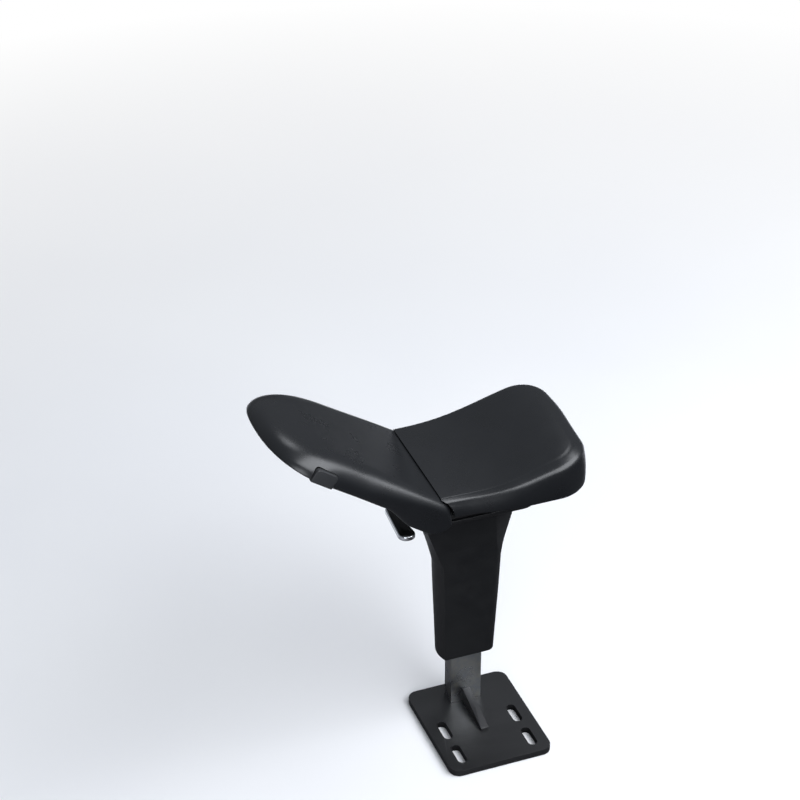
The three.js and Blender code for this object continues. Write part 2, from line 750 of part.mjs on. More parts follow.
function swivelBolt() {
  const end = 174.8;
  const seat = SWIVEL_PLATE_Z[1] + 0.2;
  const head = seat + 3.8;
  const profile = [
    [0, end],
    [4, end],
    [4, seat],
    [6.5, seat],
    [6.5, head - 1],
    [5.5, head],
    [0, head],
  ];
  return turnedZ(profile, 0, 0, 24);
}

function swivelNut() {
  const nut = roundZ(7.4, [175.5, 181.8], 0, 0, 6);
  return combine(nut, [], [roundZ(4.15, [170, 185], 0, 0, 20)]);
}

function thrustWasher() {
  const shape = new THREE.Shape();
  shape.absarc(0, 0, 13.5, 0, 2 * Math.PI);
  shape.holes.push(circleHole(4.4, 0, 0));
  return plateZ(shape, WASHER_Z, 10);
}

// ---------------------------------------------------------------- post

function sleeveProfile() {
  return polygon([
    [-20.5, SLEEVE_BOTTOM],
    [21.7, SLEEVE_BOTTOM],
    [25.3, SLEEVE_BEND],
    [36, 176],
    [36, SLEEVE_TOP],
    [-35, SLEEVE_TOP],
    [-35, 171],
    [-24.6, SLEEVE_BEND],
  ]);
}

function postSleeve() {
  const outer = roundedPlateY(sleeveProfile(), SLEEVE_HALF_THICKNESS, 2.5, 4);
  const position = outer.attributes.position;
  for (let i = 0; i < position.count; i += 1) {
    const share = (position.getZ(i) - SLEEVE_BOTTOM) / (SLEEVE_FULL_THICKNESS_Z - SLEEVE_BOTTOM);
    const narrowing = (SLEEVE_HALF_THICKNESS - SLEEVE_BOTTOM_HALF_THICKNESS) * (1 - smooth(share));
    position.setY(i, position.getY(i) * (1 - narrowing / SLEEVE_HALF_THICKNESS));
  }
  const removed = [
    box([-BORE_X, BORE_X], [-BORE_Y, BORE_Y], [40, 190]),
    box([CHANNEL_X, -BORE_X + 1], [-4.8, 4.8], [CHANNEL_BOTTOM, 190]),
    box([-45, -BORE_X + 1], [-5.4, 5.4], [166.5, 179.5]),
    roundY(1.8, [-20, 20], LEVER_PIVOT[0], LEVER_PIVOT[1], 16),
    roundY(1.3, [-20, 20], HEIGHT_PAWL_PIVOT[0], HEIGHT_PAWL_PIVOT[1], 14),
  ];
  for (const [x, y] of HEAD_SCREWS) removed.push(roundZ(2, [173, 190], x, y, 12));
  return combine(outer, [], removed);
}

function lowerGlide() {
  const outer = box([-15, 15], [-7.7, 7.7], [SLEEVE_BOTTOM + 0.5, 64]);
  return combine(outer, [], [box([-12.3, 12.3], [-6.8, 6.8], [40, 70])]);
}

function innerColumn() {
  const outer = box([-COLUMN_X, COLUMN_X], [-COLUMN_Y, COLUMN_Y], [FOOT_THICKNESS, COLUMN_TOP]);
  const insideX = COLUMN_X - COLUMN_WALL;
  const insideY = COLUMN_Y - COLUMN_WALL;
  const removed = [box([-insideX, insideX], [-insideY, insideY], [0, 150])];
  for (let k = -3; k <= 3; k += 1) {
    const z = LOCK_HEIGHT + k * LOCK_PITCH;
    removed.push(box([-COLUMN_X - 1, -insideX + 1], [-3.8, 3.8], [z - 2.7, z + 2.7]));
  }
  return combine(outer, [], removed);
}

function columnCap() {
  const collar = box([-15, 15], [-7.7, 7.7], [COLUMN_TOP, COLUMN_TOP + 2]);
  const insideX = COLUMN_X - COLUMN_WALL - GAP;
  const insideY = COLUMN_Y - COLUMN_WALL - GAP;
  return combine(collar, [box([-insideX, insideX], [-insideY, insideY], [132, COLUMN_TOP + 1])], []);
}

function slotHole(x, y, halfWidth, halfLength) {
  const path = new THREE.Path();
  path.absarc(x, y - halfLength + halfWidth, halfWidth, Math.PI, 2 * Math.PI);
  path.absarc(x, y + halfLength - halfWidth, halfWidth, 0, Math.PI);
  return path;
}

function footBracket() {
  const shape = roundedRectangle(FOOT_X, FOOT_Y, 8);
  for (const x of [-FOOT_SLOT_X, FOOT_SLOT_X]) {
    for (const y of FOOT_SLOT_Y) shape.holes.push(slotHole(x, y, 3.5, 10));
  }
  return plateZ(shape, [0, FOOT_THICKNESS], 5);
}

function footRib() {
  const thickness = 6;
  const outline = polygon([
    [RIB_END_Y, FOOT_THICKNESS],
    [RIB_END_Y, FOOT_THICKNESS + 2],
    [-COLUMN_Y, 17],
    [-COLUMN_Y, FOOT_THICKNESS],
  ]);
  const upright = new THREE.ExtrudeGeometry(outline, { depth: thickness, bevelEnabled: false });
  return upright.rotateX(Math.PI / 2).rotateZ(Math.PI / 2).translate(-thickness / 2, 0, 0);
}

// ---------------------------------------------------------------- height lever and lock

// Moves every side of a convex outline of [x, y, radius] corners inwards.
function insetCorners(corners, inset) {
  return corners.map(([x, y, radius], i) => {
    const [beforeX, beforeY] = corners[(i + corners.length - 1) % corners.length];
    const [afterX, afterY] = corners[(i + 1) % corners.length];
    const incoming = new THREE.Vector2(x - beforeX, y - beforeY).normalize();
    const outgoing = new THREE.Vector2(afterX - x, afterY - y).normalize();
    const reach = inset / incoming.cross(outgoing);
    return [
      x + reach * (outgoing.x - incoming.x),
      y + reach * (outgoing.y - incoming.y),
      Math.max(0.5, radius - inset),
    ];
  });
}

function roundedOutline(corners) {
  const points = [];
  corners.forEach(([x, y, radius], i) => {
    const [beforeX, beforeY] = corners[(i + corners.length - 1) % corners.length];
    const [afterX, afterY] = corners[(i + 1) % corners.length];
    const incoming = new THREE.Vector2(x - beforeX, y - beforeY).normalize();
    const outgoing = new THREE.Vector2(afterX - x, afterY - y).normalize();
    const turn = incoming.angleTo(outgoing);
    const setback = radius * Math.tan(turn / 2);
    const centreX = x - incoming.x * setback - incoming.y * radius;
    const centreY = y - incoming.y * setback + incoming.x * radius;
    const start = Math.atan2(-incoming.x, incoming.y);
    for (let k = 0; k <= 6; k += 1) {
      const angle = start + (turn * k) / 6;
      points.push([centreX + radius * Math.cos(angle), centreY + radius * Math.sin(angle)]);
    }
  });
  return polygon(points);
}

function leverOutline(inset) {
  return roundedOutline(insetCorners(LEVER_CORNERS, inset));
}

function leverRim() {
  const frame = plateZ(leverOutline(0), LEVER_Z);
  const window = plateZ(leverOutline(LEVER_RIM), [LEVER_Z[0] + LEVER_FLOOR, LEVER_Z[1] + 1]);
  return combine(frame, [], [window]);
}

function leverInlay() {
  return plateZ(leverOutline(LEVER_RIM + GAP), [LEVER_Z[0] + LEVER_FLOOR, LEVER_Z[1] + 0.3]);
}

// An arched arm from the paddle's rear edge over the sleeve's mouth to the pivot.
function leverNeck() {
  const [px, pz] = LEVER_PIVOT;
  const profile = polygon([
    [-50, 176.6],
    [-46, 177],
    [-41, 175],
    [-36, 172.6],
    [px, pz - 2.6],
    [px + 2.6, pz - 1.2],
    [PUSH_ROD_X[1] + 0.2, 170.8],
    [PUSH_ROD_X[1] + 0.2, 173],
    [px + 2, pz + 2.4],
    [px - 4, 175.2],
    [-36, 176],
    [-41, 178.8],
    [-44.5, 181.2],
    [-46.6, 181],
    [-48.4, 179.4],
    [-50, 179.4],
  ]);
  const paddle = plateZ(leverOutline(-0.2), [LEVER_Z[0] - 2, LEVER_Z[1] + 4]);
  return combine(plateY(profile, [-5, 5]), [], [paddle, roundY(1.7, [-8, 8], px, pz, 16)]);
}

function pushRod() {
  return box(PUSH_ROD_X, PUSH_ROD_Y, [HEIGHT_PAWL_PIVOT[1] + 1.3, 170.6]);
}

function heightPawl() {
  const [px, pz] = HEIGHT_PAWL_PIVOT;
  const boss = roundY(2.1, [-3.2, 4.2], px, pz, 16);
  const added = [
    box([px, -12.5], [-3.2, 1.6], [pz, LOCK_HEIGHT + 2.4]),
    box([px, -10], [-3.2, 1.6], [LOCK_HEIGHT - 2.2, LOCK_HEIGHT + 1.9]),
    box([PUSH_ROD_X[0] - 0.1, px], [1.2, 4.2], [pz - 1.3, pz + 1]),
  ];
  return combine(boss, added, [roundY(1.15, [-8, 8], px, pz, 14)]);
}

function lockSpring() {
  const [px, pz] = HEIGHT_PAWL_PIVOT;
  return box([-17.6, -17.1], [-2.6, 1.2], [pz + 4, LOCK_HEIGHT + 12]);
}

// ---------------------------------------------------------------- assembly

const armrest = new THREE.Group();
const front = new THREE.Group();
front.position.set(HINGE_X, 0, HINGE_Z);
front.rotation.y = REST_TILT * DEGREE;
armrest.add(front);

function add(group, name, geometry, material) {
  const mesh = new THREE.Mesh(geometry, material);
  mesh.name = name;
  group.add(mesh);
}

function addPost() {
  add(armrest, "foot_bracket", footBracket(), BLACK_STEEL());
  add(armrest, "foot_rib", footRib(), BLACK_STEEL());
  add(armrest, "inner_column", innerColumn(), ZINC());
  add(armrest, "column_cap_glide", columnCap(), GLIDE());
}

function addSleeve() {
  add(armrest, "post_sleeve", postSleeve(), POLYMER());
  add(armrest, "lower_glide", lowerGlide(), GLIDE());
  add(armrest, "head_plate", headPlate(), BLACK_STEEL());
  HEAD_SCREWS.forEach(([x, y], i) => add(armrest, `head_screw_${i + 1}`, countersink(x, y, 0), ZINC()));
  add(armrest, "swivel_bolt", swivelBolt(), ZINC());
  add(armrest, "swivel_nut", swivelNut(), ZINC());
  add(armrest, "thrust_washer", thrustWasher(), GLIDE());
  add(armrest, "swivel_stop_pin", roundZ(1.8, [182.2, 189.8], STOP_PIN_X, 0, 16), ZINC());
  add(armrest, "lever_pivot_pin", roundY(1.5, [-11, 11], LEVER_PIVOT[0], LEVER_PIVOT[1], 16), ZINC());
  const [px, pz] = HEIGHT_PAWL_PIVOT;
  add(armrest, "height_pawl_pin", roundY(1, [-10, 10], px, pz, 14), ZINC());
  add(armrest, "height_lock_spring", lockSpring(), SPRING_STEEL());
}

function addHeightLever() {
  add(armrest, "lever_rim", leverRim(), CHROME());
  add(armrest, "lever_inlay", leverInlay(), POLYMER());
  add(armrest, "lever_neck", leverNeck(), CHROME());
  add(armrest, "height_push_rod", pushRod(), ZINC());
  add(armrest, "height_lock_pawl", heightPawl(), ZINC());
}

function addSlideStack() {
  add(armrest, "swivel_plate", swivelPlate(), BLACK_STEEL());
  add(armrest, "cross_rail_front", crossRail(-1), ZINC());
  add(armrest, "cross_rail_rear", crossRail(1), ZINC());
  add(armrest, "side_carriage", sideCarriage(), POLYMER());
  add(armrest, "track_glide_inner", trackGlide(-1), GLIDE());
  add(armrest, "track_glide_outer", trackGlide(1), GLIDE());
  add(armrest, "top_track", topTrack(), BLACK_STEEL());
  TRACK_SCREWS.forEach((at, i) => add(armrest, `track_screw_${i + 1}`, trackScrew(at), ZINC()));
}

function addRearSection() {
  add(armrest, "rear_base", rearBase(), POLYMER());
  add(armrest, "rear_cushion", rearCushion(), SKIN());
  add(armrest, "tilt_sector", tiltSector(), ZINC());
  add(armrest, "hinge_bush_inner", hingeBush(-1), GLIDE());
  add(armrest, "hinge_bush_outer", hingeBush(1), GLIDE());
}

function addFrontSection() {
  add(front, "front_cushion", frontCushion(), SKIN());
  add(front, "front_base", frontBase(), POLYMER());
  add(front, "front_cover", frontCover(), POLYMER());
  COVER_SCREWS.forEach((at, i) => add(front, `cover_screw_${i + 1}`, coverScrew(at), ZINC()));
  add(front, "hinge_pin", roundY(HINGE_PIN_RADIUS, [-36.8, 36.8], 0, 0, 16), ZINC());
  add(front, "hinge_clip_inner", ringY(CLIP_RADII, [-35.5, -34.3], 0, 0, 16), SPRING_STEEL());
  add(front, "hinge_clip_outer", ringY(CLIP_RADII, [34.3, 35.5], 0, 0, 16), SPRING_STEEL());
  add(front, "pawl_pin", roundY(1.5, [-18.5, -3.6], PAWL_PIVOT[0], PAWL_PIVOT[1], 16), ZINC());
  add(front, "crank_pin", crankPin(), ZINC());
  add(front, "tab_spring", coilY(3.6, 0.45, [-46.1, -39.8], 3, -96, -1.5), SPRING_STEEL());
}

function crankPin() {
  const [x, y] = CRANK_PIVOT;
  const profile = [
    [0, -3.4],
    [1.8, -3.4],
    [1.8, -2.5],
    [1.4, -2.5],
    [1.4, 2.6],
    [0, 2.6],
  ];
  return turnedZ(profile, x, y, 16);
}

function addTiltRelease() {
  add(front, "release_tab", releaseTab(), POLYMER());
  add(front, "release_crank", releaseCrank(), ZINC());
  add(front, "release_rod", releaseRod(), ZINC());
  add(front, "tilt_pawl", tiltPawl(), ZINC());
}

addPost();
addSleeve();
addHeightLever();
addSlideStack();
addRearSection();
addFrontSection();
addTiltRelease();

export default armrest;
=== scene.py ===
"""Looks of a two-section tilting armrest pad on its adjustable post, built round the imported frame."""
import json
import math

import bmesh
import bpy
from mathutils import Matrix, Vector

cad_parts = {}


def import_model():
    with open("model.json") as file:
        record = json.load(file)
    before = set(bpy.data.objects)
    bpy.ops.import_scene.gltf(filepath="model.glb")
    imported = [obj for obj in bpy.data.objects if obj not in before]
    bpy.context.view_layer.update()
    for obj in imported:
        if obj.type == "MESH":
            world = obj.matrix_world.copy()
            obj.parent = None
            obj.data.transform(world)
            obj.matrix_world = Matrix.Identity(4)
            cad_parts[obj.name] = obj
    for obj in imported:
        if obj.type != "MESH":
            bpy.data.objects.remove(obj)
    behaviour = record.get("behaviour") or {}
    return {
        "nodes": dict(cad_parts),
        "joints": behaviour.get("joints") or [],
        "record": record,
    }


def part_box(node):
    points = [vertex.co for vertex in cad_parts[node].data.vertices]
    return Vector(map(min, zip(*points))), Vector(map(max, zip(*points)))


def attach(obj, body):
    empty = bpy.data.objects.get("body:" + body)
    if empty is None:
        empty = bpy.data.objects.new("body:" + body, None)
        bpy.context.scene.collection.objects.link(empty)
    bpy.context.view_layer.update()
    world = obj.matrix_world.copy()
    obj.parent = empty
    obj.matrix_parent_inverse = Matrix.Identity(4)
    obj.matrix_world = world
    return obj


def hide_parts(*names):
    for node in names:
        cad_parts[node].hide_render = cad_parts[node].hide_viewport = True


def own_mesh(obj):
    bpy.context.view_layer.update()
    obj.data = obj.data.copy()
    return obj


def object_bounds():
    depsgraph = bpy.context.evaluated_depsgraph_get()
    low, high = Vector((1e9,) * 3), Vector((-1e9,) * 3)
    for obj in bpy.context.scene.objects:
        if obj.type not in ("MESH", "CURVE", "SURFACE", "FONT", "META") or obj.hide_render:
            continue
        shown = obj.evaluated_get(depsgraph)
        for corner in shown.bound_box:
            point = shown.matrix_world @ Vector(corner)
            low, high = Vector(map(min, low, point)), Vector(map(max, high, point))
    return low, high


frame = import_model()
cad_low, cad_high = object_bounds()

MM = 0.001
JOINTS = {joint["name"]: joint for joint in frame["joints"]}
TILT = JOINTS["front_tilt"]
HINGE = Vector(TILT["pos_m"])
REST_TILT = math.radians(-TILT["range_deg"][0])
TO_REST = Matrix.Translation(HINGE) @ Matrix.Rotation(REST_TILT, 4, "Y")
FRONT_FROM_REST = TO_REST.inverted()


# ---------------------------------------------------------------- small helpers

def smooth(t):
    t = min(1.0, max(0.0, t))
    return t * t * (3 - 2 * t)


def mix(a, b, t):
    return a + (b - a) * t


def cosine_rise(t):
    return (1 - math.cos(math.pi * min(1.0, max(0.0, t)))) / 2


def new_object(name, bm, smooth_angle=35):
    mesh = bpy.data.meshes.new(name)
    bmesh.ops.recalc_face_normals(bm, faces=bm.faces)
    bm.to_mesh(mesh)
    bm.free()
    obj = bpy.data.objects.new(name, mesh)
    bpy.context.scene.collection.objects.link(obj)
    shade(obj, smooth_angle)
    return obj


def shade(obj, smooth_angle=35):
    for polygon in obj.data.polygons:
        polygon.use_smooth = True
    obj.data.set_sharp_from_angle(angle=math.radians(smooth_angle))


def apply_modifiers(obj):
    evaluated = obj.evaluated_get(bpy.context.evaluated_depsgraph_get())
    baked = bpy.data.meshes.new_from_object(evaluated)
    obj.modifiers.clear()
    obj.data = baked


def cut(obj, cutters, operation="DIFFERENCE"):
    for cutter in cutters:
        modifier = obj.modifiers.new("cut", "BOOLEAN")
        modifier.operation = operation
        modifier.solver = "EXACT"
        modifier.object = cutter
    bpy.context.view_layer.update()
    apply_modifiers(obj)
    for cutter in cutters:
        bpy.data.objects.remove(cutter)


def soften(obj, width, segments=3, angle=30):
    """Rounds every edge sharper than the angle."""
    modifier = obj.modifiers.new("soft_edges", "BEVEL")
    modifier.width = width
    modifier.segments = segments
    modifier.limit_method = "ANGLE"
    modifier.angle_limit = math.radians(angle)
    modifier.harden_normals = False
    apply_modifiers(obj)
    shade(obj, 40)


def place(obj, body, slot, material, *replaced):
    obj.data.materials.clear()
    obj.data.materials.append(material)
    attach(obj, body)
    if replaced:
        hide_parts(*replaced)


def prism(name, points, across, axis="Y"):
    """A solid with the given outline. Axis Y: points are (x, z). Axis Z: points are (x, y). In metres."""
    bm = bmesh.new()
    loops = []
    for level in across:
        if axis == "Y":
            loops.append([bm.verts.new((x, level, z)) for x, z in points])
        else:
            loops.append([bm.verts.new((x, y, level)) for x, y in points])
    count = len(points)
    bm.faces.new(loops[0])
    bm.faces.new(list(reversed(loops[1])))
    for i in range(count):
        j = (i + 1) % count
        bm.faces.new((loops[0][i], loops[1][i], loops[1][j], loops[0][j]))
    return new_object(name, bm)


def block(name, low, high):
    outline = [(low[0], low[1]), (high[0], low[1]), (high[0], high[1]), (low[0], high[1])]
    return prism(name, outline, (low[2], high[2]), "Z")


def arc(centre, radius, start, end, steps):
    """Points on a circle from one direction to another, in degrees."""
    points = []
    for i in range(steps + 1):
        angle = math.radians(mix(start, end, i / steps))
        points.append((centre[0] + radius * math.cos(angle), centre[1] + radius * math.sin(angle)))
    return points


def rounded_rectangle(low, high, radius, steps=8):
    corners = [
        ((high[0] - radius, low[1] + radius), -90),
        ((high[0] - radius, high[1] - radius), 0),
        ((low[0] + radius, high[1] - radius), 90),
        ((low[0] + radius, low[1] + radius), 180),
    ]
    points = []
    for centre, start in corners:
        points += arc(centre, radius, start, start + 90, steps)
    return points


def sheet_grid(columns, closed=False):
    """A closed skin from columns of points; points that coincide are joined."""
    bm = bmesh.new()
    grid = [[bm.verts.new(point) for point in column] for column in columns]
    last = len(grid) if closed else len(grid) - 1
    for i in range(last):
        near, far = grid[i], grid[(i + 1) % len(grid)]
        for j in range(len(near) - 1):
            bm.faces.new((near[j], near[j + 1], far[j + 1], far[j]))
    bmesh.ops.remove_doubles(bm, verts=bm.verts, dist=2e-6)
    bmesh.ops.dissolve_degenerate(bm, edges=bm.edges, dist=1e-6)
    return bm


# ---------------------------------------------------------------- materials

class Nodes:
    """A material's node tree with short calls to add and join nodes."""

    def __init__(self, name):
        self.material = bpy.data.materials.new(name)
        self.material.use_nodes = True
        self.tree = self.material.node_tree
        self.shader = self.tree.nodes["Principled BSDF"]
        self.position = self.add("ShaderNodeTexCoord").outputs["Object"]

    def add(self, kind, **inputs):
        node = self.tree.nodes.new(kind)
        for name, value in inputs.items():
            node.inputs[name.replace("_", " ")].default_value = value
        return node

    def join(self, output, target):
        self.tree.links.new(output, target)

    def noise(self, scale, detail=3.0, roughness=0.5, stretch=None):
        node = self.add("ShaderNodeTexNoise", Scale=scale, Detail=detail, Roughness=roughness)
        source = self.position
        if stretch:
            mapping = self.add("ShaderNodeMapping")
            mapping.inputs["Scale"].default_value = stretch
            self.join(source, mapping.inputs["Vector"])
            source = mapping.outputs["Vector"]
        self.join(source, node.inputs["Vector"])
        return node.outputs["Fac"]

    def cells(self, scale):
        node = self.add("ShaderNodeTexVoronoi", Scale=scale)
        node.feature = "SMOOTH_F1"
        self.join(self.position, node.inputs["Vector"])
        return node.outputs["Distance"]

    def ramp(self, factor, low, high):
        """Maps 0.3..0.7 of the factor to the range from low to high."""
        node = self.add("ShaderNodeMapRange")
        node.inputs["From Min"].default_value = 0.3
        node.inputs["From Max"].default_value = 0.7
        node.inputs["To Min"].default_value = low
        node.inputs["To Max"].default_value = high
        self.join(factor, node.inputs["Value"])
        return node.outputs["Result"]

    def fade(self, value, zero_at, one_at):
        """Rises from 0 to 1 between two values of the input, in either direction."""
        node = self.add("ShaderNodeMapRange")
        node.inputs["From Min"].default_value = zero_at
        node.inputs["From Max"].default_value = one_at
        self.join(value, node.inputs["Value"])
        return node.outputs["Result"]

    def tint(self, factor, dark, light):
        node = self.add("ShaderNodeMix")
        node.data_type = "RGBA"
        node.inputs["A"].default_value = (*dark, 1)
        node.inputs["B"].default_value = (*light, 1)
        self.join(factor, node.inputs["Factor"])
        return node.outputs["Result"]

    def times(self, a, b):
        node = self.add("ShaderNodeMath")
        node.operation = "MULTIPLY"
        self.join(a, node.inputs[0])
        self.join(b, node.inputs[1])
        return node.outputs["Value"]

    def over(self, factor, base, color):
        """A plain colour laid over a base colour by a factor."""
        node = self.add("ShaderNodeMix")
        node.data_type = "RGBA"
        node.inputs["B"].default_value = (*color, 1)
        self.join(base, node.inputs["A"])
        self.join(factor, node.inputs["Factor"])
        return node.outputs["Result"]

    def mixed(self, factor, shader_a, shader_b):
        node = self.add("ShaderNodeMixShader")
        self.join(factor, node.inputs["Fac"])
        self.join(shader_a, node.inputs[1])
        self.join(shader_b, node.inputs[2])
        return node.outputs["Shader"]

    def edges(self):
        """1 on outward edges, 0 elsewhere: where handling wears a finish."""
        node = self.add("ShaderNodeMapRange")
        node.inputs["From Min"].default_value = 0.52
        node.inputs["From Max"].default_value = 0.62
        self.join(self.add("ShaderNodeNewGeometry").outputs["Pointiness"], node.inputs["Value"])
        return node.outputs["Result"]

    def bump(self, height, strength, distance, after=None):
        node = self.add("ShaderNodeBump", Strength=strength, Distance=distance)
        self.join(height, node.inputs["Height"])
        if after is not None:
            self.join(after, node.inputs["Normal"])
        return node.outputs["Normal"]

    def finish(self, color, roughness, normal, metallic=0.0, specular=0.5):
        self.join(color, self.shader.inputs["Base Color"])
        self.join(roughness, self.shader.inputs["Roughness"])
        self.join(normal, self.shader.inputs["Normal"])
        self.shader.inputs["Metallic"].default_value = metallic
        self.shader.inputs["Specular IOR Level"].default_value = specular
        return self.material


def pad_skin_material():
    """Self-skinned polyurethane: satin, with a leather-like micro grain and slightly polished edges."""
    n = Nodes("pad_skin")
    cloud = n.noise(14, 4, 0.6)
    color = n.tint(n.ramp(cloud, 0, 1), (0.0072, 0.0079, 0.0092), (0.0092, 0.0100, 0.0115))
    worn = n.tint(n.edges(), (0, 0, 0), (0.003, 0.003, 0.0033))
    total = n.add("ShaderNodeMix")
    total.data_type = "RGBA"
    total.blend_type = "ADD"
    total.inputs["Factor"].default_value = 1
    n.join(color, total.inputs["A"])
    n.join(worn, total.inputs["B"])
    roughness = n.ramp(n.noise(55, 5, 0.6), 0.26, 0.31)
    pores = n.bump(n.cells(1900), 0.015, 0.00012)
    grain = n.bump(n.noise(900, 3, 0.55), 0.015, 0.00020, pores)
    ripple = n.bump(n.noise(35, 2, 0.5), 0.015, 0.0012, grain)
    material = n.finish(total.outputs["Result"], roughness, ripple, specular=0.5)
    n.shader.inputs["Coat Weight"].default_value = 0.08
    n.shader.inputs["Coat Roughness"].default_value = 0.3
    return material


def shell_material(name="shell", dark=(0.0054, 0.0058, 0.0066), light=(0.0072, 0.0077, 0.0086)):
    """Glass-filled nylon with a fine spark-eroded texture."""
    n = Nodes(name)
    color = n.tint(n.ramp(n.noise(30, 4, 0.6), 0, 1), dark, light)
    roughness = n.ramp(n.noise(120, 4, 0.6), 0.42, 0.52)
    speckle = n.bump(n.noise(2600, 2, 0.6), 0.18, 0.00010)
    flow = n.bump(n.noise(60, 2, 0.5), 0.04, 0.0008, speckle)
    return n.finish(color, roughness, flow)


def powder_coat_material():
    """Black powder coat with orange peel and a few polished edges."""
    n = Nodes("black_steel")
    color = n.tint(n.edges(), (0.010, 0.0102, 0.011), (0.035, 0.035, 0.037))
    roughness = n.ramp(n.noise(70, 4, 0.6), 0.34, 0.46)
    peel = n.bump(n.noise(700, 3, 0.5), 0.22, 0.00018)
    return n.finish(color, roughness, peel)


def zinc_material():
    """Bright zinc plate: rolled lines, a faint blue to straw cast, dull patches."""
    n = Nodes("zinc_steel")
    color = n.tint(n.ramp(n.noise(90, 5, 0.65), 0, 1), (0.42, 0.45, 0.50), (0.60, 0.59, 0.54))
    roughness = n.ramp(n.noise(45, 5, 0.7), 0.22, 0.40)
    lines = n.bump(n.noise(260, 2, 0.5, stretch=(1, 1, 14)), 0.12, 0.00010)
    return n.finish(color, roughness, lines, metallic=1.0)


def chrome_material():
    """Polished chrome with fine handling marks."""
    n = Nodes("chrome")
    color = n.tint(n.ramp(n.noise(80, 3, 0.5), 0, 1), (0.74, 0.76, 0.79), (0.84, 0.85, 0.87))
    roughness = n.ramp(n.noise(160, 5, 0.7), 0.05, 0.13)
    wave = n.bump(n.noise(240, 2, 0.5), 0.05, 0.00010)
    return n.finish(color, roughness, wave, metallic=1.0)


def acetal_material():
    """Dark acetal bearings: smooth, waxy, lightly scuffed."""
    n = Nodes("glide")
    color = n.tint(n.ramp(n.noise(60, 4, 0.6), 0, 1), (0.030, 0.030, 0.031), (0.052, 0.052, 0.053))
    roughness = n.ramp(n.noise(150, 5, 0.7), 0.28, 0.42)
    scuffs = n.bump(n.noise(420, 3, 0.6, stretch=(1, 1, 6)), 0.10, 0.00008)
    return n.finish(color, roughness, scuffs)


def spring_material():
    """Drawn spring wire."""
    n = Nodes("spring_steel")
    color = n.tint(n.ramp(n.noise(200, 3, 0.6), 0, 1), (0.26, 0.265, 0.275), (0.36, 0.36, 0.36))
    roughness = n.ramp(n.noise(300, 4, 0.6), 0.22, 0.34)
    drawn = n.bump(n.noise(1500, 2, 0.5, stretch=(1, 12, 1)), 0.1, 0.00004)
    return n.finish(color, roughness, drawn, metallic=1.0)


SKIN = pad_skin_material()
SHELL = shell_material()
INLAY = shell_material("lever_inlay", (0.001, 0.001, 0.0011), (0.0016, 0.0016, 0.0018))
TAB = shell_material("release_tab", (0.022, 0.023, 0.025), (0.028, 0.029, 0.031))
STEEL = powder_coat_material()
ZINC = zinc_material()
CHROME = chrome_material()
GLIDE = acetal_material()
WIRE = spring_material()
BY_SLOT = {
    "pad_skin": SKIN,
    "shell": SHELL,
    "black_steel": STEEL,
    "zinc_steel": ZINC,
    "chrome": CHROME,
    "glide": GLIDE,
    "spring_steel": WIRE,
}


# ---------------------------------------------------------------- rear pad section

KNUCKLE_RADIUS = 12.5 * MM
RECESS_RADIUS = KNUCKLE_RADIUS + 0.4 * MM
REAR_LOW, REAR_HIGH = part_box("rear_cushion")
JOINT_X = REAR_LOW.x
REAR_HALF = REAR_HIGH.y
JOINT_HALF = 50 * MM
REAR_RISE = 17.8 * MM
REAR_RISE_LENGTH = 113 * MM
REAR_RISE_DELAY = 1.3
REAR_BULGE = 1.0 * MM
# The side that faces the sitter (near) and the outer side (far): full half width, length over which
# the pad widens to it, and the plan radius of the rear corner.
REAR_SIDES = {
    -1: (REAR_HALF + 0.5 * MM, 60 * MM, 30 * MM),
    1: (REAR_HALF - 0.7 * MM, 100 * MM, 24 * MM),
}
PAD_TOP = REAR_HIGH.z - REAR_RISE
REAR_FOOT_RADIUS = 1.0 * MM
REAR_TUCK = 0.5 * MM


def rear_half_width(x, side):
    full, length = REAR_SIDES[side][:2]
    return mix(JOINT_HALF, full, cosine_rise((x - JOINT_X) / length))


def rear_top(x, y):
    along = min(1.0, max(0.0, (x - JOINT_X) / REAR_RISE_LENGTH))
    rise = REAR_RISE * cosine_rise(along ** REAR_RISE_DELAY)
    return PAD_TOP + rise - 0.3 * MM * (y / JOINT_HALF) ** 2


def bent(a, corner, b, steps):
    """Points on a curve from a to b that rounds the corner between them."""
    points = []
    for i in range(steps + 1):
        t = i / steps
        points.append(a.lerp(corner, t).lerp(corner.lerp(b, t), t))
    return points


def chamfered_edge(back, height):
    """The sitter's side: a chamfer that widens and flattens to the rear, a rounded edge, a slanting wall."""
    top = Vector((mix(6.4, 11.0, back) * MM, 0))
    width, slope = mix(3.2, 7.6, back) * MM, mix(0.62, 0.43, back)
    edge = top + Vector((-width, width * slope))
    foot = Vector((0, mix(height, 0.8 * height, back)))
    along = (edge - top).normalized()
    down = (foot - edge).normalized()
    crease, rounding = mix(0.8, 2.4, back) * MM, mix(1.6, 3.0, back) * MM
    points = bent(top + Vector((crease, 0)), top, top + along * crease, 4)
    return points + bent(edge - along * rounding * 0.9, edge, edge + down * rounding, 5)


def rounded_edge(radius):
    """The outer side: a plain fillet."""
    points = []
    for i in range(11):
        angle = math.radians(9 * i)
        points.append(Vector((radius * (1 - math.sin(angle)), radius * (1 - math.cos(angle)))))
    return points


def rear_edge(x, outer, height):
    """Inset and drop of the top edge's section, 11 points down to the wall. Outer: 0 sitter's side, 1 far."""
    back = smooth((x - JOINT_X) / (95 * MM))
    chamfered = chamfered_edge(back, height)
    rounded = rounded_edge(mix(1.5 * MM, 8.9 * MM, back))
    return [a.lerp(b, outer) for a, b in zip(chamfered, rounded)]


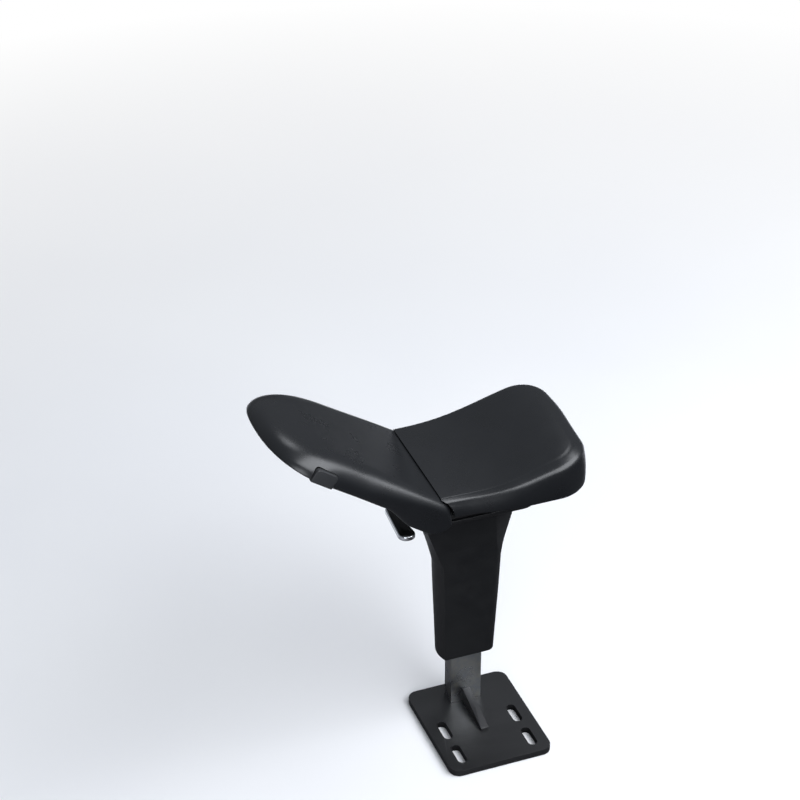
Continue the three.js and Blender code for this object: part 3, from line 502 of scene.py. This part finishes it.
def rear_half_outline(side):
    """From beyond the joint line along one side and round the corner to the middle of the rear end."""
    corner = REAR_SIDES[side][2]
    corner_x = REAR_HIGH.x - REAR_BULGE - corner
    start = JOINT_X - 6 * MM
    points = []
    for i in range(25):
        x = mix(start, corner_x, i / 24)
        points.append((x, rear_half_width(x, side)))
    inner_y = rear_half_width(corner_x, side) - corner
    for x, y in arc((corner_x, inner_y), corner, 90, 0, 16)[1:]:
        points.append((x, y))
    for i in range(1, 6):
        y = inner_y * (1 - i / 5)
        points.append((REAR_HIGH.x - REAR_BULGE * (y / inner_y) ** 2, y))
    return points


def outline_normal(points, i):
    before = Vector(points[max(0, i - 1)])
    after = Vector(points[min(len(points) - 1, i + 1)])
    along = (after - before).normalized()
    return Vector((along.y, -along.x))


def rear_column(point, inward, middle, side):
    """One strip of the skin, from the middle of the top over the edge to the middle of the underside."""
    edge = Vector(point)
    height = PAD_TOP - REAR_LOW.z
    share = smooth(0.5 + edge.y * side / (2 * 20 * MM))
    section = rear_edge(edge.x, share, height)
    column = []

    def put(p, z):
        column.append((p.x, p.y * side, z))

    shoulder = edge + inward * section[0].x
    for i in range(7):
        p = middle.lerp(shoulder, i / 6)
        put(p, rear_top(p.x, p.y))
    top = rear_top(shoulder.x, shoulder.y)
    for inset, drop in section[1:]:
        put(edge + inward * inset, top - drop)
    wall_inset, wall_top = section[-1].x, top - section[-1].y
    wall_low = REAR_LOW.z + REAR_FOOT_RADIUS
    for i in range(1, 5):
        t = i / 5
        inset = wall_inset * (1 - t) ** 2 + REAR_TUCK * t * t
        put(edge + inward * inset, mix(wall_top, wall_low, t))
    for i in range(5):
        angle = math.radians(90 * i / 4)
        inset = REAR_TUCK + REAR_FOOT_RADIUS * (1 - math.cos(angle))
        put(edge + inward * inset, wall_low - REAR_FOOT_RADIUS * math.sin(angle))
    sole = edge + inward * (REAR_TUCK + REAR_FOOT_RADIUS)
    for i in range(1, 4):
        put(sole.lerp(middle, i / 3), REAR_LOW.z)
    return column


def rear_pad():
    fan_x = REAR_HIGH.x - 50 * MM
    columns = []
    for side in (-1, 1):
        outline = rear_half_outline(side)
        half = []
        for i, point in enumerate(outline):
            normal = outline_normal(outline, i)
            if i == len(outline) - 1:
                normal = Vector((-1, 0))
            if i == 0:
                normal = Vector((0, -1))
            middle = Vector((mix(outline[0][0], fan_x, min(1.0, i / 24)), 0))
            half.append(rear_column(point, normal, middle, side))
        columns += half if side < 0 else list(reversed(half))
    bm = sheet_grid(columns)
    rim = [edge for edge in bm.edges if edge.is_boundary]
    bmesh.ops.holes_fill(bm, edges=rim, sides=0)
    pad = new_object("rear_pad_skin", bm)
    hinge_x, hinge_z = HINGE.x, HINGE.z
    reach = JOINT_X - hinge_x
    lip_angle = math.degrees(math.acos(reach / RECESS_RADIUS))
    profile = [(JOINT_X, PAD_TOP + 30 * MM)]
    profile += arc((hinge_x, hinge_z), RECESS_RADIUS, lip_angle, -12, 20)
    profile += [(profile[-1][0], REAR_LOW.z - 30 * MM), (JOINT_X - 60 * MM, REAR_LOW.z - 30 * MM)]
    profile += [(JOINT_X - 60 * MM, PAD_TOP + 30 * MM)]
    cut(pad, [prism("recess", profile, (-80 * MM, 80 * MM))])
    shade(pad, 40)
    place(pad, "pad", "pad_skin", SKIN, "rear_cushion")


# ---------------------------------------------------------------- front pad section

# Its own level frame: the hinge axis is the origin and the nose points to -X.
# "Distance" is measured from the hinge towards the nose.
FRONT_HALF = 50 * MM
NOSE_START = 94 * MM
NOSE_LENGTH = 42 * MM
NOSE_POWER = 2.4
NOSE_TIP = NOSE_START + NOSE_LENGTH
FAN_DISTANCE = 60 * MM
FRONT_BOTTOM = -6.3 * MM
STEP_START = 14 * MM
STEP_END = 41 * MM
FOOT_RADIUS = 2.0 * MM
TOP_FALL = 2 * MM
TOP_FALL_START = 20 * MM


def to_rest(obj):
    obj.data.transform(TO_REST)
    return obj


def nose_point(angle):
    """A point on the nose's outline, from its side (0) to its tip (90 degrees)."""
    s, c = math.sin(angle), math.cos(angle)
    power = 2 / NOSE_POWER
    return (NOSE_START + NOSE_LENGTH * s ** power, FRONT_HALF * c ** power)


def front_half_outline():
    points = []
    for i in range(13):
        angle = math.radians(90 * (1 - i / 12))
        points.append((-KNUCKLE_RADIUS * math.sin(angle), FRONT_HALF))
    for i in range(1, 25):
        points.append((NOSE_START * i / 24, FRONT_HALF))
    for i in range(1, 25):
        x, y = nose_point(math.radians(90 * i / 24))
        points.append((x, max(0.0, y)))
    return points


def lower_edge(distance):
    if distance < 0:
        return -math.sqrt(max(0.0, KNUCKLE_RADIUS ** 2 - distance ** 2))
    t = (distance - STEP_START) / (STEP_END - STEP_START)
    return mix(-KNUCKLE_RADIUS, FRONT_BOTTOM, smooth(t))


def upper_edge(distance):
    if distance < 0:
        return math.sqrt(max(0.0, KNUCKLE_RADIUS ** 2 - distance ** 2))
    return KNUCKLE_RADIUS


def front_top(distance):
    """Height of the middle of the top, which falls gently towards the nose."""
    if distance < 0:
        return upper_edge(distance)
    share = max(0.0, distance - TOP_FALL_START) / (NOSE_TIP - TOP_FALL_START)
    return KNUCKLE_RADIUS - TOP_FALL * share ** 2


def roll_off(distance, side, span):
    """How far in and down the top edge is rolled: broad on the sitter's side and right round the nose."""
    near = side < 0
    t = smooth((distance + 5 * MM) / (85 * MM))
    reach = mix(9 * MM, 18 * MM, t) if near else mix(1.5 * MM, 10 * MM, t)
    depth = mix(7 * MM, 16.5 * MM, t) if near else mix(1 * MM, 5 * MM, t)
    nose = smooth((distance - 70 * MM) / (NOSE_TIP - 70 * MM))
    full = front_top(distance) - FRONT_BOTTOM - 1 * MM
    return mix(reach, span * 0.52, nose), mix(depth, full, nose)


def front_column(point, side):
    distance, half = point
    middle_distance = min(distance, FAN_DISTANCE)
    low = lower_edge(distance)
    height = upper_edge(distance) - low
    span = math.hypot(distance - middle_distance, half)
    reach, depth = roll_off(distance, side, span)
    depth = min(depth, 0.45 * height if distance < 0 else front_top(distance) - low - 0.8 * MM)
    foot = min(FOOT_RADIUS, 0.2 * height)
    flat = 1 - reach / span
    column = []

    def put(share, drop=None, level=None):
        d = mix(middle_distance, distance, share)
        column.append((-d, half * share * side, front_top(d) - drop if level is None else level))

    for i in range(7):
        put(flat * i / 6, 0)
    for i in range(1, 13):
        angle = math.radians(7.5 * i)
        put(flat + (1 - flat) * math.sin(angle), depth * (1 - math.cos(angle)))
    wall_top = front_top(distance) - depth
    wall_low = low + min(foot, max(0.0, wall_top - low) * 0.9)
    foot = wall_low - low
    for i in range(1, 4):
        put(1, level=mix(wall_top, wall_low, i / 4))
    for i in range(5):
        angle = math.radians(90 * i / 4)
        put(1 - foot * (1 - math.cos(angle)) / span, level=low + foot * (1 - math.sin(angle)))
    for i in range(1, 4):
        put((1 - foot / span) * (1 - i / 3), level=low)
    return column


def front_cutters():
    """The hinge's cavity, the pocket for the mechanism and the opening for the release tab."""
    cavity = 38 * MM
    pocket_half, pocket_top, pocket_end = 40 * MM, 3 * MM, -112 * MM
    deep = -25 * MM
    bore = prism("bore", arc((0, 0), 9.8 * MM, 0, 352.5, 47), (-cavity, cavity))
    ring = arc((0, 0), 1 * MM, -95, 40, 8) + arc((0, 0), 17 * MM, 40, -95, 14)
    behind = prism("behind", ring, (-cavity, cavity))
    under = block("under", (-13 * MM, -cavity, deep), (0.2 * MM, cavity, pocket_top))
    outline = rounded_rectangle((pocket_end, -pocket_half), (-12 * MM, pocket_half), 5 * MM)
    pocket = prism("pocket", outline, (deep, pocket_top), "Z")
    gap = 0.35 * MM
    width, height, corner = TAB_SIZE.x + 2 * gap, TAB_SIZE.z + gap, TAB_CORNER + gap
    left, top = TAB_LOW.x - gap, TAB_LOW.z + height
    opening = [(left, deep), (left + width, deep)]
    opening += arc((left + width - corner, top - corner), corner, 0, 90, 6)
    opening += arc((left + corner, top - corner), corner, 90, 180, 6)
    slot = prism("slot", opening, (-60 * MM, -pocket_half + 1 * MM))
    return [bore, behind, under, pocket, slot]


def front_pad():
    outline = front_half_outline()
    near = [front_column(point, -1) for point in outline]
    far = [front_column(point, 1) for point in reversed(outline)]
    bm = sheet_grid(near + far)
    pad = new_object("front_pad_skin", bm)
    cut(pad, front_cutters())
    shade(pad, 40)
    to_rest(pad)
    place(pad, "front", "pad_skin", SKIN, "front_cushion")


# ---------------------------------------------------------------- release tab

def local_box(node):
    """A front-section node's box in the level frame, from its corners at rest."""
    corners = [FRONT_FROM_REST @ Vector(v.co) for v in frame["nodes"][node].data.vertices]
    low = Vector(min(c[i] for c in corners) for i in range(3))
    high = Vector(max(c[i] for c in corners) for i in range(3))
    return low, high


TAB_LOW, TAB_HIGH = local_box("release_tab")
TAB_SIZE = TAB_HIGH - TAB_LOW
TAB_CORNER = 3 * MM


def release_tab():
    left, right = TAB_LOW.x, TAB_HIGH.x
    low, top = TAB_LOW.z, TAB_HIGH.z
    shape = [(left, low), (right, low)]
    shape += arc((right - TAB_CORNER, top - TAB_CORNER), TAB_CORNER, 0, 90, 6)
    shape += arc((left + TAB_CORNER, top - TAB_CORNER), TAB_CORNER, 90, 180, 6)
    face = TAB_LOW.y
    button = prism("release_tab_skin", shape, (face, face + 3.9 * MM))
    soften(button, 0.55 * MM)
    stem = block("stem", (-98 * MM, face + 3 * MM, -3 * MM), (-94 * MM, TAB_HIGH.y, 0))
    cut(button, [stem], "UNION")
    shade(button, 40)
    to_rest(button)
    place(button, "tab", "shell", TAB, "release_tab")


# ---------------------------------------------------------------- post sleeve

SLEEVE_LOW, SLEEVE_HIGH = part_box("post_sleeve")
SLEEVE_BEND = 137 * MM
SLEEVE_FLARE_TOP = 171 * MM
FACET_WIDTH = 7 * MM
# X where the facet meets the broad side, at the bend and at the top.
SLEEVE_FACET = (21.0 * MM, 17.6 * MM)


def line(value, points):
    """Straight-line lookup of (input, output) pairs in rising order of input."""
    for (a, fa), (b, fb) in zip(points, points[1:]):
        if value <= b:
            return mix(fa, fb, max(0.0, (value - a) / (b - a)))
    return points[-1][1]


def sleeve_near_edge(z):
    """X of the crisp edge between the broad side and the front."""
    low, bend, top = -19 * MM, -21.7 * MM, SLEEVE_LOW.x + 1.2 * MM
    return line(z, [(SLEEVE_LOW.z, low), (SLEEVE_BEND, bend), (SLEEVE_FLARE_TOP, top), (1, top)])


def sleeve_bulge(z):
    """How far the front stands out beyond that edge."""
    return line(z, [(SLEEVE_LOW.z, 2.2 * MM), (SLEEVE_BEND, 3.5 * MM), (160 * MM, 0.6 * MM), (1, 0.6 * MM)])


def sleeve_rear(z):
    low, bend, top = 21.9 * MM, 25.6 * MM, SLEEVE_HIGH.x + 0.3 * MM
    return line(z, [(SLEEVE_LOW.z, low), (SLEEVE_BEND, bend), (176 * MM, top), (1, top)])


def sleeve_corner(z, half):
    """From the broad side to the rear: round below, a flat facet that widens where the rear flares."""
    rear, radius = sleeve_rear(z), 6.5 * MM
    rounded = arc((rear - radius, radius - half), radius, 270, 360, 10)
    up = (z - SLEEVE_BEND) / (SLEEVE_HIGH.z - SLEEVE_BEND)
    if up <= 0:
        return rounded
    start = Vector((mix(SLEEVE_FACET[0], SLEEVE_FACET[1], up), -half))
    end = Vector((rear, FACET_WIDTH - half))
    flat = [start.lerp(end, i / 10) for i in range(11)]
    share = min(1.0, up / 0.3)
    return [(mix(a[0], b.x, share), mix(a[1], b.y, share)) for a, b in zip(rounded, flat)]


def sleeve_section(z):
    half = mix(10.5 * MM, 12 * MM, smooth((z - SLEEVE_LOW.z) / (118 * MM - SLEEVE_LOW.z)))
    edge, bulge, tight = sleeve_near_edge(z), sleeve_bulge(z), 0.7 * MM
    near = arc((edge + tight, -half + tight), tight, 215, 270, 3)
    corner = sleeve_corner(z, half)
    far = [(x, -y) for x, y in reversed(near + corner)]
    front = []
    reach = half - tight
    for i in range(1, 12):
        y = mix(reach, -reach, i / 12)
        front.append((edge + 0.13 * MM - bulge * (1 - (y / reach) ** 2), y))
    return [(x, y, z) for x, y in near + corner + far + front]


def sleeve_levels():
    """Heights of the sections, closer together round each bend and at both rims."""
    levels = [SLEEVE_LOW.z]
    for bend in (SLEEVE_BEND, 160 * MM, SLEEVE_FLARE_TOP, 176 * MM):
        levels += [bend - 0.5 * MM, bend + 0.5 * MM]
    levels += [70 * MM, 90 * MM, 105 * MM, 118 * MM, 143 * MM, 150 * MM, SLEEVE_HIGH.z]
    return sorted(levels)


def inset_loop(loop, amount, z):
    middle_x = (min(p[0] for p in loop) + max(p[0] for p in loop)) / 2
    half_x = max(p[0] for p in loop) - middle_x
    half_y = max(p[1] for p in loop)
    return [
        (middle_x + (p[0] - middle_x) * (1 - amount / half_x), p[1] * (1 - amount / half_y), z)
        for p in loop
    ]


def sleeve_body():
    loops = [sleeve_section(z) for z in sleeve_levels()]
    rim = 0.8 * MM
    low = [inset_loop(loops[0], rim, SLEEVE_LOW.z)]
    loops[0] = [(x, y, SLEEVE_LOW.z + rim) for x, y, z in loops[0]]
    loops = low + loops
    bm = bmesh.new()
    rings = [[bm.verts.new(point) for point in loop] for loop in loops]
    for a, b in zip(rings, rings[1:]):
        for i in range(len(a)):
            j = (i + 1) % len(a)
            bm.faces.new((a[i], a[j], b[j], b[i]))
    bm.faces.new(rings[0])
    bm.faces.new(rings[-1])
    return new_object("post_sleeve_shell", bm)


def post_sleeve():
    shell = sleeve_body()
    bore = block("bore", (-15.3 * MM, -8 * MM, 0.03), (15.3 * MM, 8 * MM, 0.2))
    channel = block("channel", (-18 * MM, -4.8 * MM, 83.5 * MM), (-14 * MM, 4.8 * MM, 0.2))
    mouth = block("mouth", (-0.045, -5.4 * MM, 166.5 * MM), (-0.0145, 5.4 * MM, 179.5 * MM))
    cut(shell, [bore, channel, mouth])
    shade(shell, 30)
    place(shell, "sleeve", "shell", SHELL, "post_sleeve")


# ---------------------------------------------------------------- head plate

HEAD_CORNER = 14 * MM
SWIVEL_HOLE_RADIUS = 4.3 * MM
STOP_PIN_HOLE_RADIUS = 2 * MM
HEAD_SCREWS = sorted(name for name in frame["nodes"] if name.startswith("head_screw"))


def head_plate():
    low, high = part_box("head_plate")
    outline = rounded_rectangle(low[:2], high[:2], HEAD_CORNER, 16)
    plate = prism("head_plate_skin", outline, (low.z, high.z), "Z")
    through = (low.z - 0.01, high.z + 0.01)
    holes = [prism("hole", arc((0, 0), SWIVEL_HOLE_RADIUS, 0, 345, 23), through, "Z")]
    for name in HEAD_SCREWS:
        screw_low, screw_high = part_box(name)
        centre = (screw_low + screw_high) / 2
        radius = (screw_high.x - screw_low.x) / 2 + 0.2 * MM
        holes.append(prism("hole", arc(centre[:2], radius, 0, 345, 23), through, "Z"))
    pin_low, pin_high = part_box("swivel_stop_pin")
    centre = (pin_low + pin_high) / 2
    holes.append(prism("hole", arc(centre[:2], STOP_PIN_HOLE_RADIUS, 0, 330, 11), through, "Z"))
    cut(plate, holes)
    soften(plate, 0.6 * MM)
    place(plate, "sleeve", "black_steel", STEEL, "head_plate")


# ---------------------------------------------------------------- height lever

RIM_LOW, RIM_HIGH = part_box("lever_rim")
# The paddle from above, anticlockwise: x, y and the corner's radius. It tapers to the far end.
LEVER_CORNERS = [
    (-44.6 * MM, -20.2 * MM, 5.0 * MM),
    (-49.8 * MM, 19 * MM, 2.6 * MM),
    (-55.6 * MM, 19 * MM, 2.6 * MM),
    (-58.2 * MM, -20.2 * MM, 6.0 * MM),
]
LEVER_BAND = 1.3 * MM


def turned(a, b):
    return a.x * b.y - a.y * b.x


def lever_outline(inset, steps=9):
    """The paddle's outline moved inwards, with its corners rounded."""
    count = len(LEVER_CORNERS)
    points = []
    for i, (x, y, radius) in enumerate(LEVER_CORNERS):
        corner = Vector((x, y))
        before = Vector(LEVER_CORNERS[i - 1][:2])
        after = Vector(LEVER_CORNERS[(i + 1) % count][:2])
        incoming = (corner - before).normalized()
        outgoing = (after - corner).normalized()
        corner += (outgoing - incoming) * (inset / turned(incoming, outgoing))
        radius = max(0.6 * MM, radius - inset)
        turn = math.acos(incoming.dot(outgoing))
        back_off = radius * math.tan(turn / 2)
        centre = corner - incoming * back_off + Vector((-incoming.y, incoming.x)) * radius
        start = math.degrees(math.atan2(-incoming.x, incoming.y))
        points += arc(centre, radius, start, start + math.degrees(turn), steps)
    return points


def lever_rim():
    """A rounded chrome band round the paddle, with a thin floor under the inlay."""
    body = prism("lever_rim_skin", lever_outline(0), (RIM_LOW.z, RIM_HIGH.z), "Z")
    soften(body, 1.1 * MM, 5)
    floor_z = RIM_LOW.z + 1.1 * MM
    cut(body, [prism("window", lever_outline(LEVER_BAND), (floor_z, RIM_HIGH.z + 5 * MM), "Z")])
    shade(body, 40)
    place(body, "lever", "chrome", CHROME, "lever_rim")


def lever_inlay():
    """The black grip: a low roof with its ridge along the paddle."""
    base = RIM_LOW.z + 1.25 * MM
    shoulder = RIM_HIGH.z - 0.5 * MM
    ridge_x, ridge_reach = -53 * MM, 0.6
    columns = []
    for x, y in lever_outline(LEVER_BAND + 0.15 * MM):
        column = [(ridge_x, y * ridge_reach, base), (x, y, base), (x, y, shoulder)]
        for share in (0.94, 0.75, 0.45, 0.0):
            across = mix(ridge_x, x, share)
            along = y * mix(ridge_reach, 1, share)
            column.append((across, along, shoulder + 0.3 * MM + 0.9 * MM * (1 - share)))
        columns.append(column)
    inlay = new_object("lever_inlay_skin", sheet_grid(columns, closed=True), 25)
    place(inlay, "lever", "shell", INLAY, "lever_inlay")


def lever_neck():
    """A chrome arm that arches from the paddle's rear edge over to the pivot boss."""
    low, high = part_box("lever_neck")
    pivot = Vector(JOINTS["height_lever"]["pos_m"])
    lower = [(-50, 176.6), (-46, 177), (-41, 175), (-36, 172.6)]
    upper = [(-36, 176), (-41, 178.8), (-43, 180.4), (-44.6, 181.2), (-46.2, 181.2), (-47.4, 180.4)]
    upper += [(-48.2, 179), (-50, 178.6)]
    outline = [(x * MM, z * MM) for x, z in lower]
    outline += [
        (pivot.x, pivot.z - 2.6 * MM),
        (pivot.x + 2.6 * MM, pivot.z - 1.2 * MM),
        (high.x, 170.8 * MM),
        (high.x, 173 * MM),
        (pivot.x + 1.5 * MM, pivot.z + 2.5 * MM),
        (pivot.x - 4 * MM, 175.2 * MM),
    ]
    outline += [(x * MM, z * MM) for x, z in upper]
    neck = prism("lever_neck_arms", outline, (low.y, high.y))
    slit = block("slit", (-45.5 * MM, -0.8 * MM, 0.16), (pivot.x - 5.5 * MM, 0.8 * MM, 0.19))
    hole = prism("hole", arc((pivot.x, pivot.z), 1.7 * MM, 0, 345, 23), (-0.01, 0.01))
    paddle = prism("paddle", lever_outline(-0.1 * MM), (RIM_LOW.z - 2 * MM, RIM_HIGH.z + 4 * MM), "Z")
    cut(neck, [slit, hole, paddle])
    soften(neck, 0.5 * MM, 3)
    place(neck, "lever", "chrome", CHROME, "lever_neck")


# ---------------------------------------------------------------- springs

SPRING_LOW, SPRING_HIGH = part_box("tab_spring")
LEAF_LOW, LEAF_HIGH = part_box("height_lock_spring")


def swept(name, path, normals, radius, sides=8):
    """A round wire along a path, with a flat cap at each end."""
    bm = bmesh.new()
    rings = []
    for i, point in enumerate(path):
        along = (path[min(i + 1, len(path) - 1)] - path[max(i - 1, 0)]).normalized()
        across = along.cross(normals[i]).normalized()
        up = across.cross(along)
        ring = []
        for j in range(sides):
            angle = 2 * math.pi * j / sides
            offset = across * math.cos(angle) + up * math.sin(angle)
            ring.append(bm.verts.new(point + offset * radius))
        rings.append(ring)
    for a, b in zip(rings, rings[1:]):
        for j in range(sides):
            k = (j + 1) % sides
            bm.faces.new((a[j], a[k], b[k], b[j]))
    bm.faces.new(rings[0])
    bm.faces.new(rings[-1])
    return new_object(name, bm)


def tab_spring():
    """The coil behind the release tab, with closed end turns, drawn at its rest length; the real coil
    shortens as the tab is pressed.
    """
    middle = (SPRING_LOW + SPRING_HIGH) / 2
    wire = 0.45 * MM
    radius = (SPRING_HIGH.x - SPRING_LOW.x) / 2 - wire
    start, end, turns, steps = SPRING_LOW.y + wire, SPRING_HIGH.y - wire, 4, 28
    path, normals = [], []
    for i in range(turns * steps + 1):
        turn = i / steps
        angle = 2 * math.pi * turn
        rise = smooth((turn - 0.5) / (turns - 1))
        out = Vector((math.cos(angle), 0, math.sin(angle)))
        path.append(Vector((middle.x, mix(start, end, rise), middle.z)) + out * radius)
        normals.append(out)
    coil = swept("tab_spring_coil", path, normals, wire)
    shade(coil, 50)
    place(coil, "front", "spring_steel", WIRE, "tab_spring")
    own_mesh(coil)


def height_lock_spring():
    """The leaf behind the height pawl: slightly bowed towards it, drawn at rest; the real leaf is pressed
    flat as the pawl swings out.
    """
    steps, bow, thickness = 16, 0.3 * MM, 0.25 * MM
    outer, inner = [], []
    for i in range(steps + 1):
        t = i / steps
        x = LEAF_LOW.x - 0.1 * MM + bow * math.sin(math.pi * t)
        z = mix(LEAF_LOW.z, LEAF_HIGH.z, t)
        outer.append((x, z))
        inner.append((x + thickness, z))
    leaf = prism("height_lock_leaf", outer + inner[::-1], (LEAF_LOW.y, LEAF_HIGH.y))
    shade(leaf, 40)
    place(leaf, "sleeve", "spring_steel", WIRE, "height_lock_spring")
    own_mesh(leaf)


# ---------------------------------------------------------------- pieces kept from the frame

def keep_cad_nodes():
    """Gives every node that is still shown its material and lightly rounded edges."""
    slots = {part["node"]: part["material_slot"] for part in frame["record"]["subparts"]}
    for name, obj in frame["nodes"].items():
        if obj.hide_render:
            continue
        material = BY_SLOT[slots[name]]
        if obj.data.materials:
            for i in range(len(obj.data.materials)):
                obj.data.materials[i] = material
        else:
            obj.data.materials.append(material)
        obj.modifiers.new("weld", "WELD").merge_threshold = 1e-6
        size = min(obj.dimensions)
        bevel = obj.modifiers.new("edges", "BEVEL")
        bevel.width = min(0.45 * MM, size * 0.08)
        bevel.segments = 2
        bevel.limit_method = "ANGLE"
        bevel.angle_limit = math.radians(35)
        bevel.use_clamp_overlap = True


# ---------------------------------------------------------------- studio

def floor_material():
    """Pale to the eye and white far off. To reflections and bounce light it is painted light and shade:
    painted dark grey from +X so that the undersides stay dark, lighter towards -X, with a painted bright
    patch beyond the pad and a painted lighter patch behind it, so that highlights fall on the pad.
    """
    n = Nodes("studio_floor")
    color = n.tint(n.ramp(n.noise(3, 2, 0.5), 0, 1), (0.86, 0.86, 0.87), (0.90, 0.90, 0.90))
    roughness = n.ramp(n.noise(8, 2, 0.5), 0.75, 0.85)
    flat = n.bump(n.noise(20, 2, 0.5), 0.01, 0.0005)
    n.finish(color, roughness, flat, specular=0.2)
    split = n.add("ShaderNodeSeparateXYZ")
    n.join(n.position, split.inputs["Vector"])
    x, y = split.outputs["X"], split.outputs["Y"]
    # Painted shade and light for reflections only: dark grey from x = 0.05 on, rising to mid grey towards -X.
    painted_reflection_color = n.tint(n.fade(x, 0.05, -0.25), (0.035, 0.035, 0.037), (0.34, 0.34, 0.35))
    # A painted bright patch beyond the pad, which the pad reflects as a highlight.
    beyond = n.times(n.fade(y, 0.12, 0.30), n.fade(y, 1.6, 0.9))
    painted_reflection_color = n.over(beyond, painted_reflection_color, (0.80, 0.80, 0.81))
    # A painted lighter patch behind the pad, which the pad reflects as a soft highlight.
    behind = n.times(n.times(n.fade(x, 0.09, 0.16), n.fade(x, 0.34, 0.26)), n.fade(y, -0.14, -0.08))
    painted_reflection_color = n.over(behind, painted_reflection_color, (0.17, 0.17, 0.175))
    # What reflections and bounce light see: a diffuse floor in these painted colours.
    painted_reflection_floor = n.add("ShaderNodeBsdfDiffuse")
    n.join(painted_reflection_color, painted_reflection_floor.inputs["Color"])
    distance = n.add("ShaderNodeVectorMath")
    distance.operation = "LENGTH"
    n.join(n.position, distance.inputs[0])
    sky = n.add("ShaderNodeEmission", Color=(1, 1, 1, 1))
    far = n.fade(distance.outputs["Value"], 0.45, 1.3)
    shown = n.mixed(far, n.shader.outputs["BSDF"], sky.outputs["Emission"])
    to_eye = n.add("ShaderNodeLightPath").outputs["Is Camera Ray"]
    surface = n.mixed(to_eye, painted_reflection_floor.outputs["BSDF"], shown)
    n.join(surface, n.tree.nodes["Material Output"].inputs["Surface"])
    return n.material


def floor():
    bm = bmesh.new()
    size, level = 6.0, cad_low.z - 0.4 * MM
    corners = [(-size, -size), (size, -size), (size, size), (-size, size)]
    bm.faces.new([bm.verts.new((x, y, level)) for x, y in corners])
    ground = new_object("floor", bm)
    ground.data.materials.append(floor_material())


def world():
    """White to the camera; for reflections, a soft grey that is brighter overhead."""
    background = bpy.data.worlds.new("studio")
    background.use_nodes = True
    bpy.context.scene.world = background
    tree = background.node_tree
    tree.nodes.clear()
    output = tree.nodes.new("ShaderNodeOutputWorld")
    white = tree.nodes.new("ShaderNodeBackground")
    white.inputs["Color"].default_value = (1, 1, 1, 1)
    soft = tree.nodes.new("ShaderNodeBackground")
    blend = tree.nodes.new("ShaderNodeMixShader")
    path = tree.nodes.new("ShaderNodeLightPath")
    coordinates = tree.nodes.new("ShaderNodeTexCoord")
    split = tree.nodes.new("ShaderNodeSeparateXYZ")
    ramp = tree.nodes.new("ShaderNodeValToRGB")
    ramp.color_ramp.elements[0].position = 0.40
    ramp.color_ramp.elements[0].color = (0.10, 0.105, 0.115, 1)
    ramp.color_ramp.elements[1].position = 0.72
    ramp.color_ramp.elements[1].color = (0.25, 0.265, 0.29, 1)
    half = tree.nodes.new("ShaderNodeMapRange")
    half.inputs["From Min"].default_value = -1
    tree.links.new(coordinates.outputs["Generated"], split.inputs["Vector"])
    tree.links.new(split.outputs["Z"], half.inputs["Value"])
    tree.links.new(half.outputs["Result"], ramp.inputs["Fac"])
    tree.links.new(ramp.outputs["Color"], soft.inputs["Color"])
    soft.inputs["Strength"].default_value = 1.0
    tree.links.new(path.outputs["Is Camera Ray"], blend.inputs["Fac"])
    tree.links.new(soft.outputs["Background"], blend.inputs[1])
    tree.links.new(white.outputs["Background"], blend.inputs[2])
    tree.links.new(blend.outputs["Shader"], output.inputs["Surface"])


def softbox(name, location, target, size, power):
    light = bpy.data.lights.new(name, "AREA")
    light.shape = "RECTANGLE"
    light.size, light.size_y = size
    light.energy = power
    light.color = (0.97, 1.0, 1.05)
    obj = bpy.data.objects.new(name, light)
    obj.location = location
    obj.rotation_euler = (Vector(target) - Vector(location)).to_track_quat("-Z", "Y").to_euler()
    bpy.context.scene.collection.objects.link(obj)


def lights():
    """A large box on the sitter's side, a small one beyond the pad and a weak one ahead of the nose."""
    aim = (JOINT_X, 0, PAD_TOP)
    softbox("sitter_side", (0.75, -0.72, 1.38), aim, (2.2, 1.2), 42)
    softbox("beyond", (0.53, 0.76, 1.68), aim, (0.45, 0.45), 2.4)
    softbox("front_left", (-0.75, -1.5, 0.45), aim, (0.8, 0.9), 8)


def camera():
    """The photograph's view: from the front inner side and above, with the joint a little off the centre."""
    azimuth, elevation = math.radians(-21.5), math.radians(34.6)
    distance = 1.7
    frame_width, sensor = 0.56338, 36
    back = Vector((
        math.sin(azimuth) * math.cos(elevation),
        -math.cos(azimuth) * math.cos(elevation),
        math.sin(elevation),
    ))
    right = Vector((0, 0, 1)).cross(back).normalized()
    up = back.cross(right)
    joint = Vector((JOINT_X, 0, PAD_TOP))
    target = joint - right * 0.0130 + up * 0.0458
    data = bpy.data.cameras.new("photo_view")
    data.sensor_width = sensor
    data.lens = sensor * distance / frame_width
    data.clip_start, data.clip_end = 0.01, 50
    obj = bpy.data.objects.new("photo_view", data)
    obj.location = joint + back * distance
    direction = obj.location - target
    obj.rotation_euler = direction.to_track_quat("Z", "Y").to_euler()
    bpy.context.scene.collection.objects.link(obj)
    bpy.context.scene.camera = obj


rear_pad()
front_pad()
release_tab()
post_sleeve()
head_plate()
lever_rim()
lever_inlay()
lever_neck()
tab_spring()
height_lock_spring()
keep_cad_nodes()
floor()
world()
lights()
camera()
bpy.context.scene.view_settings.view_transform = "Standard"
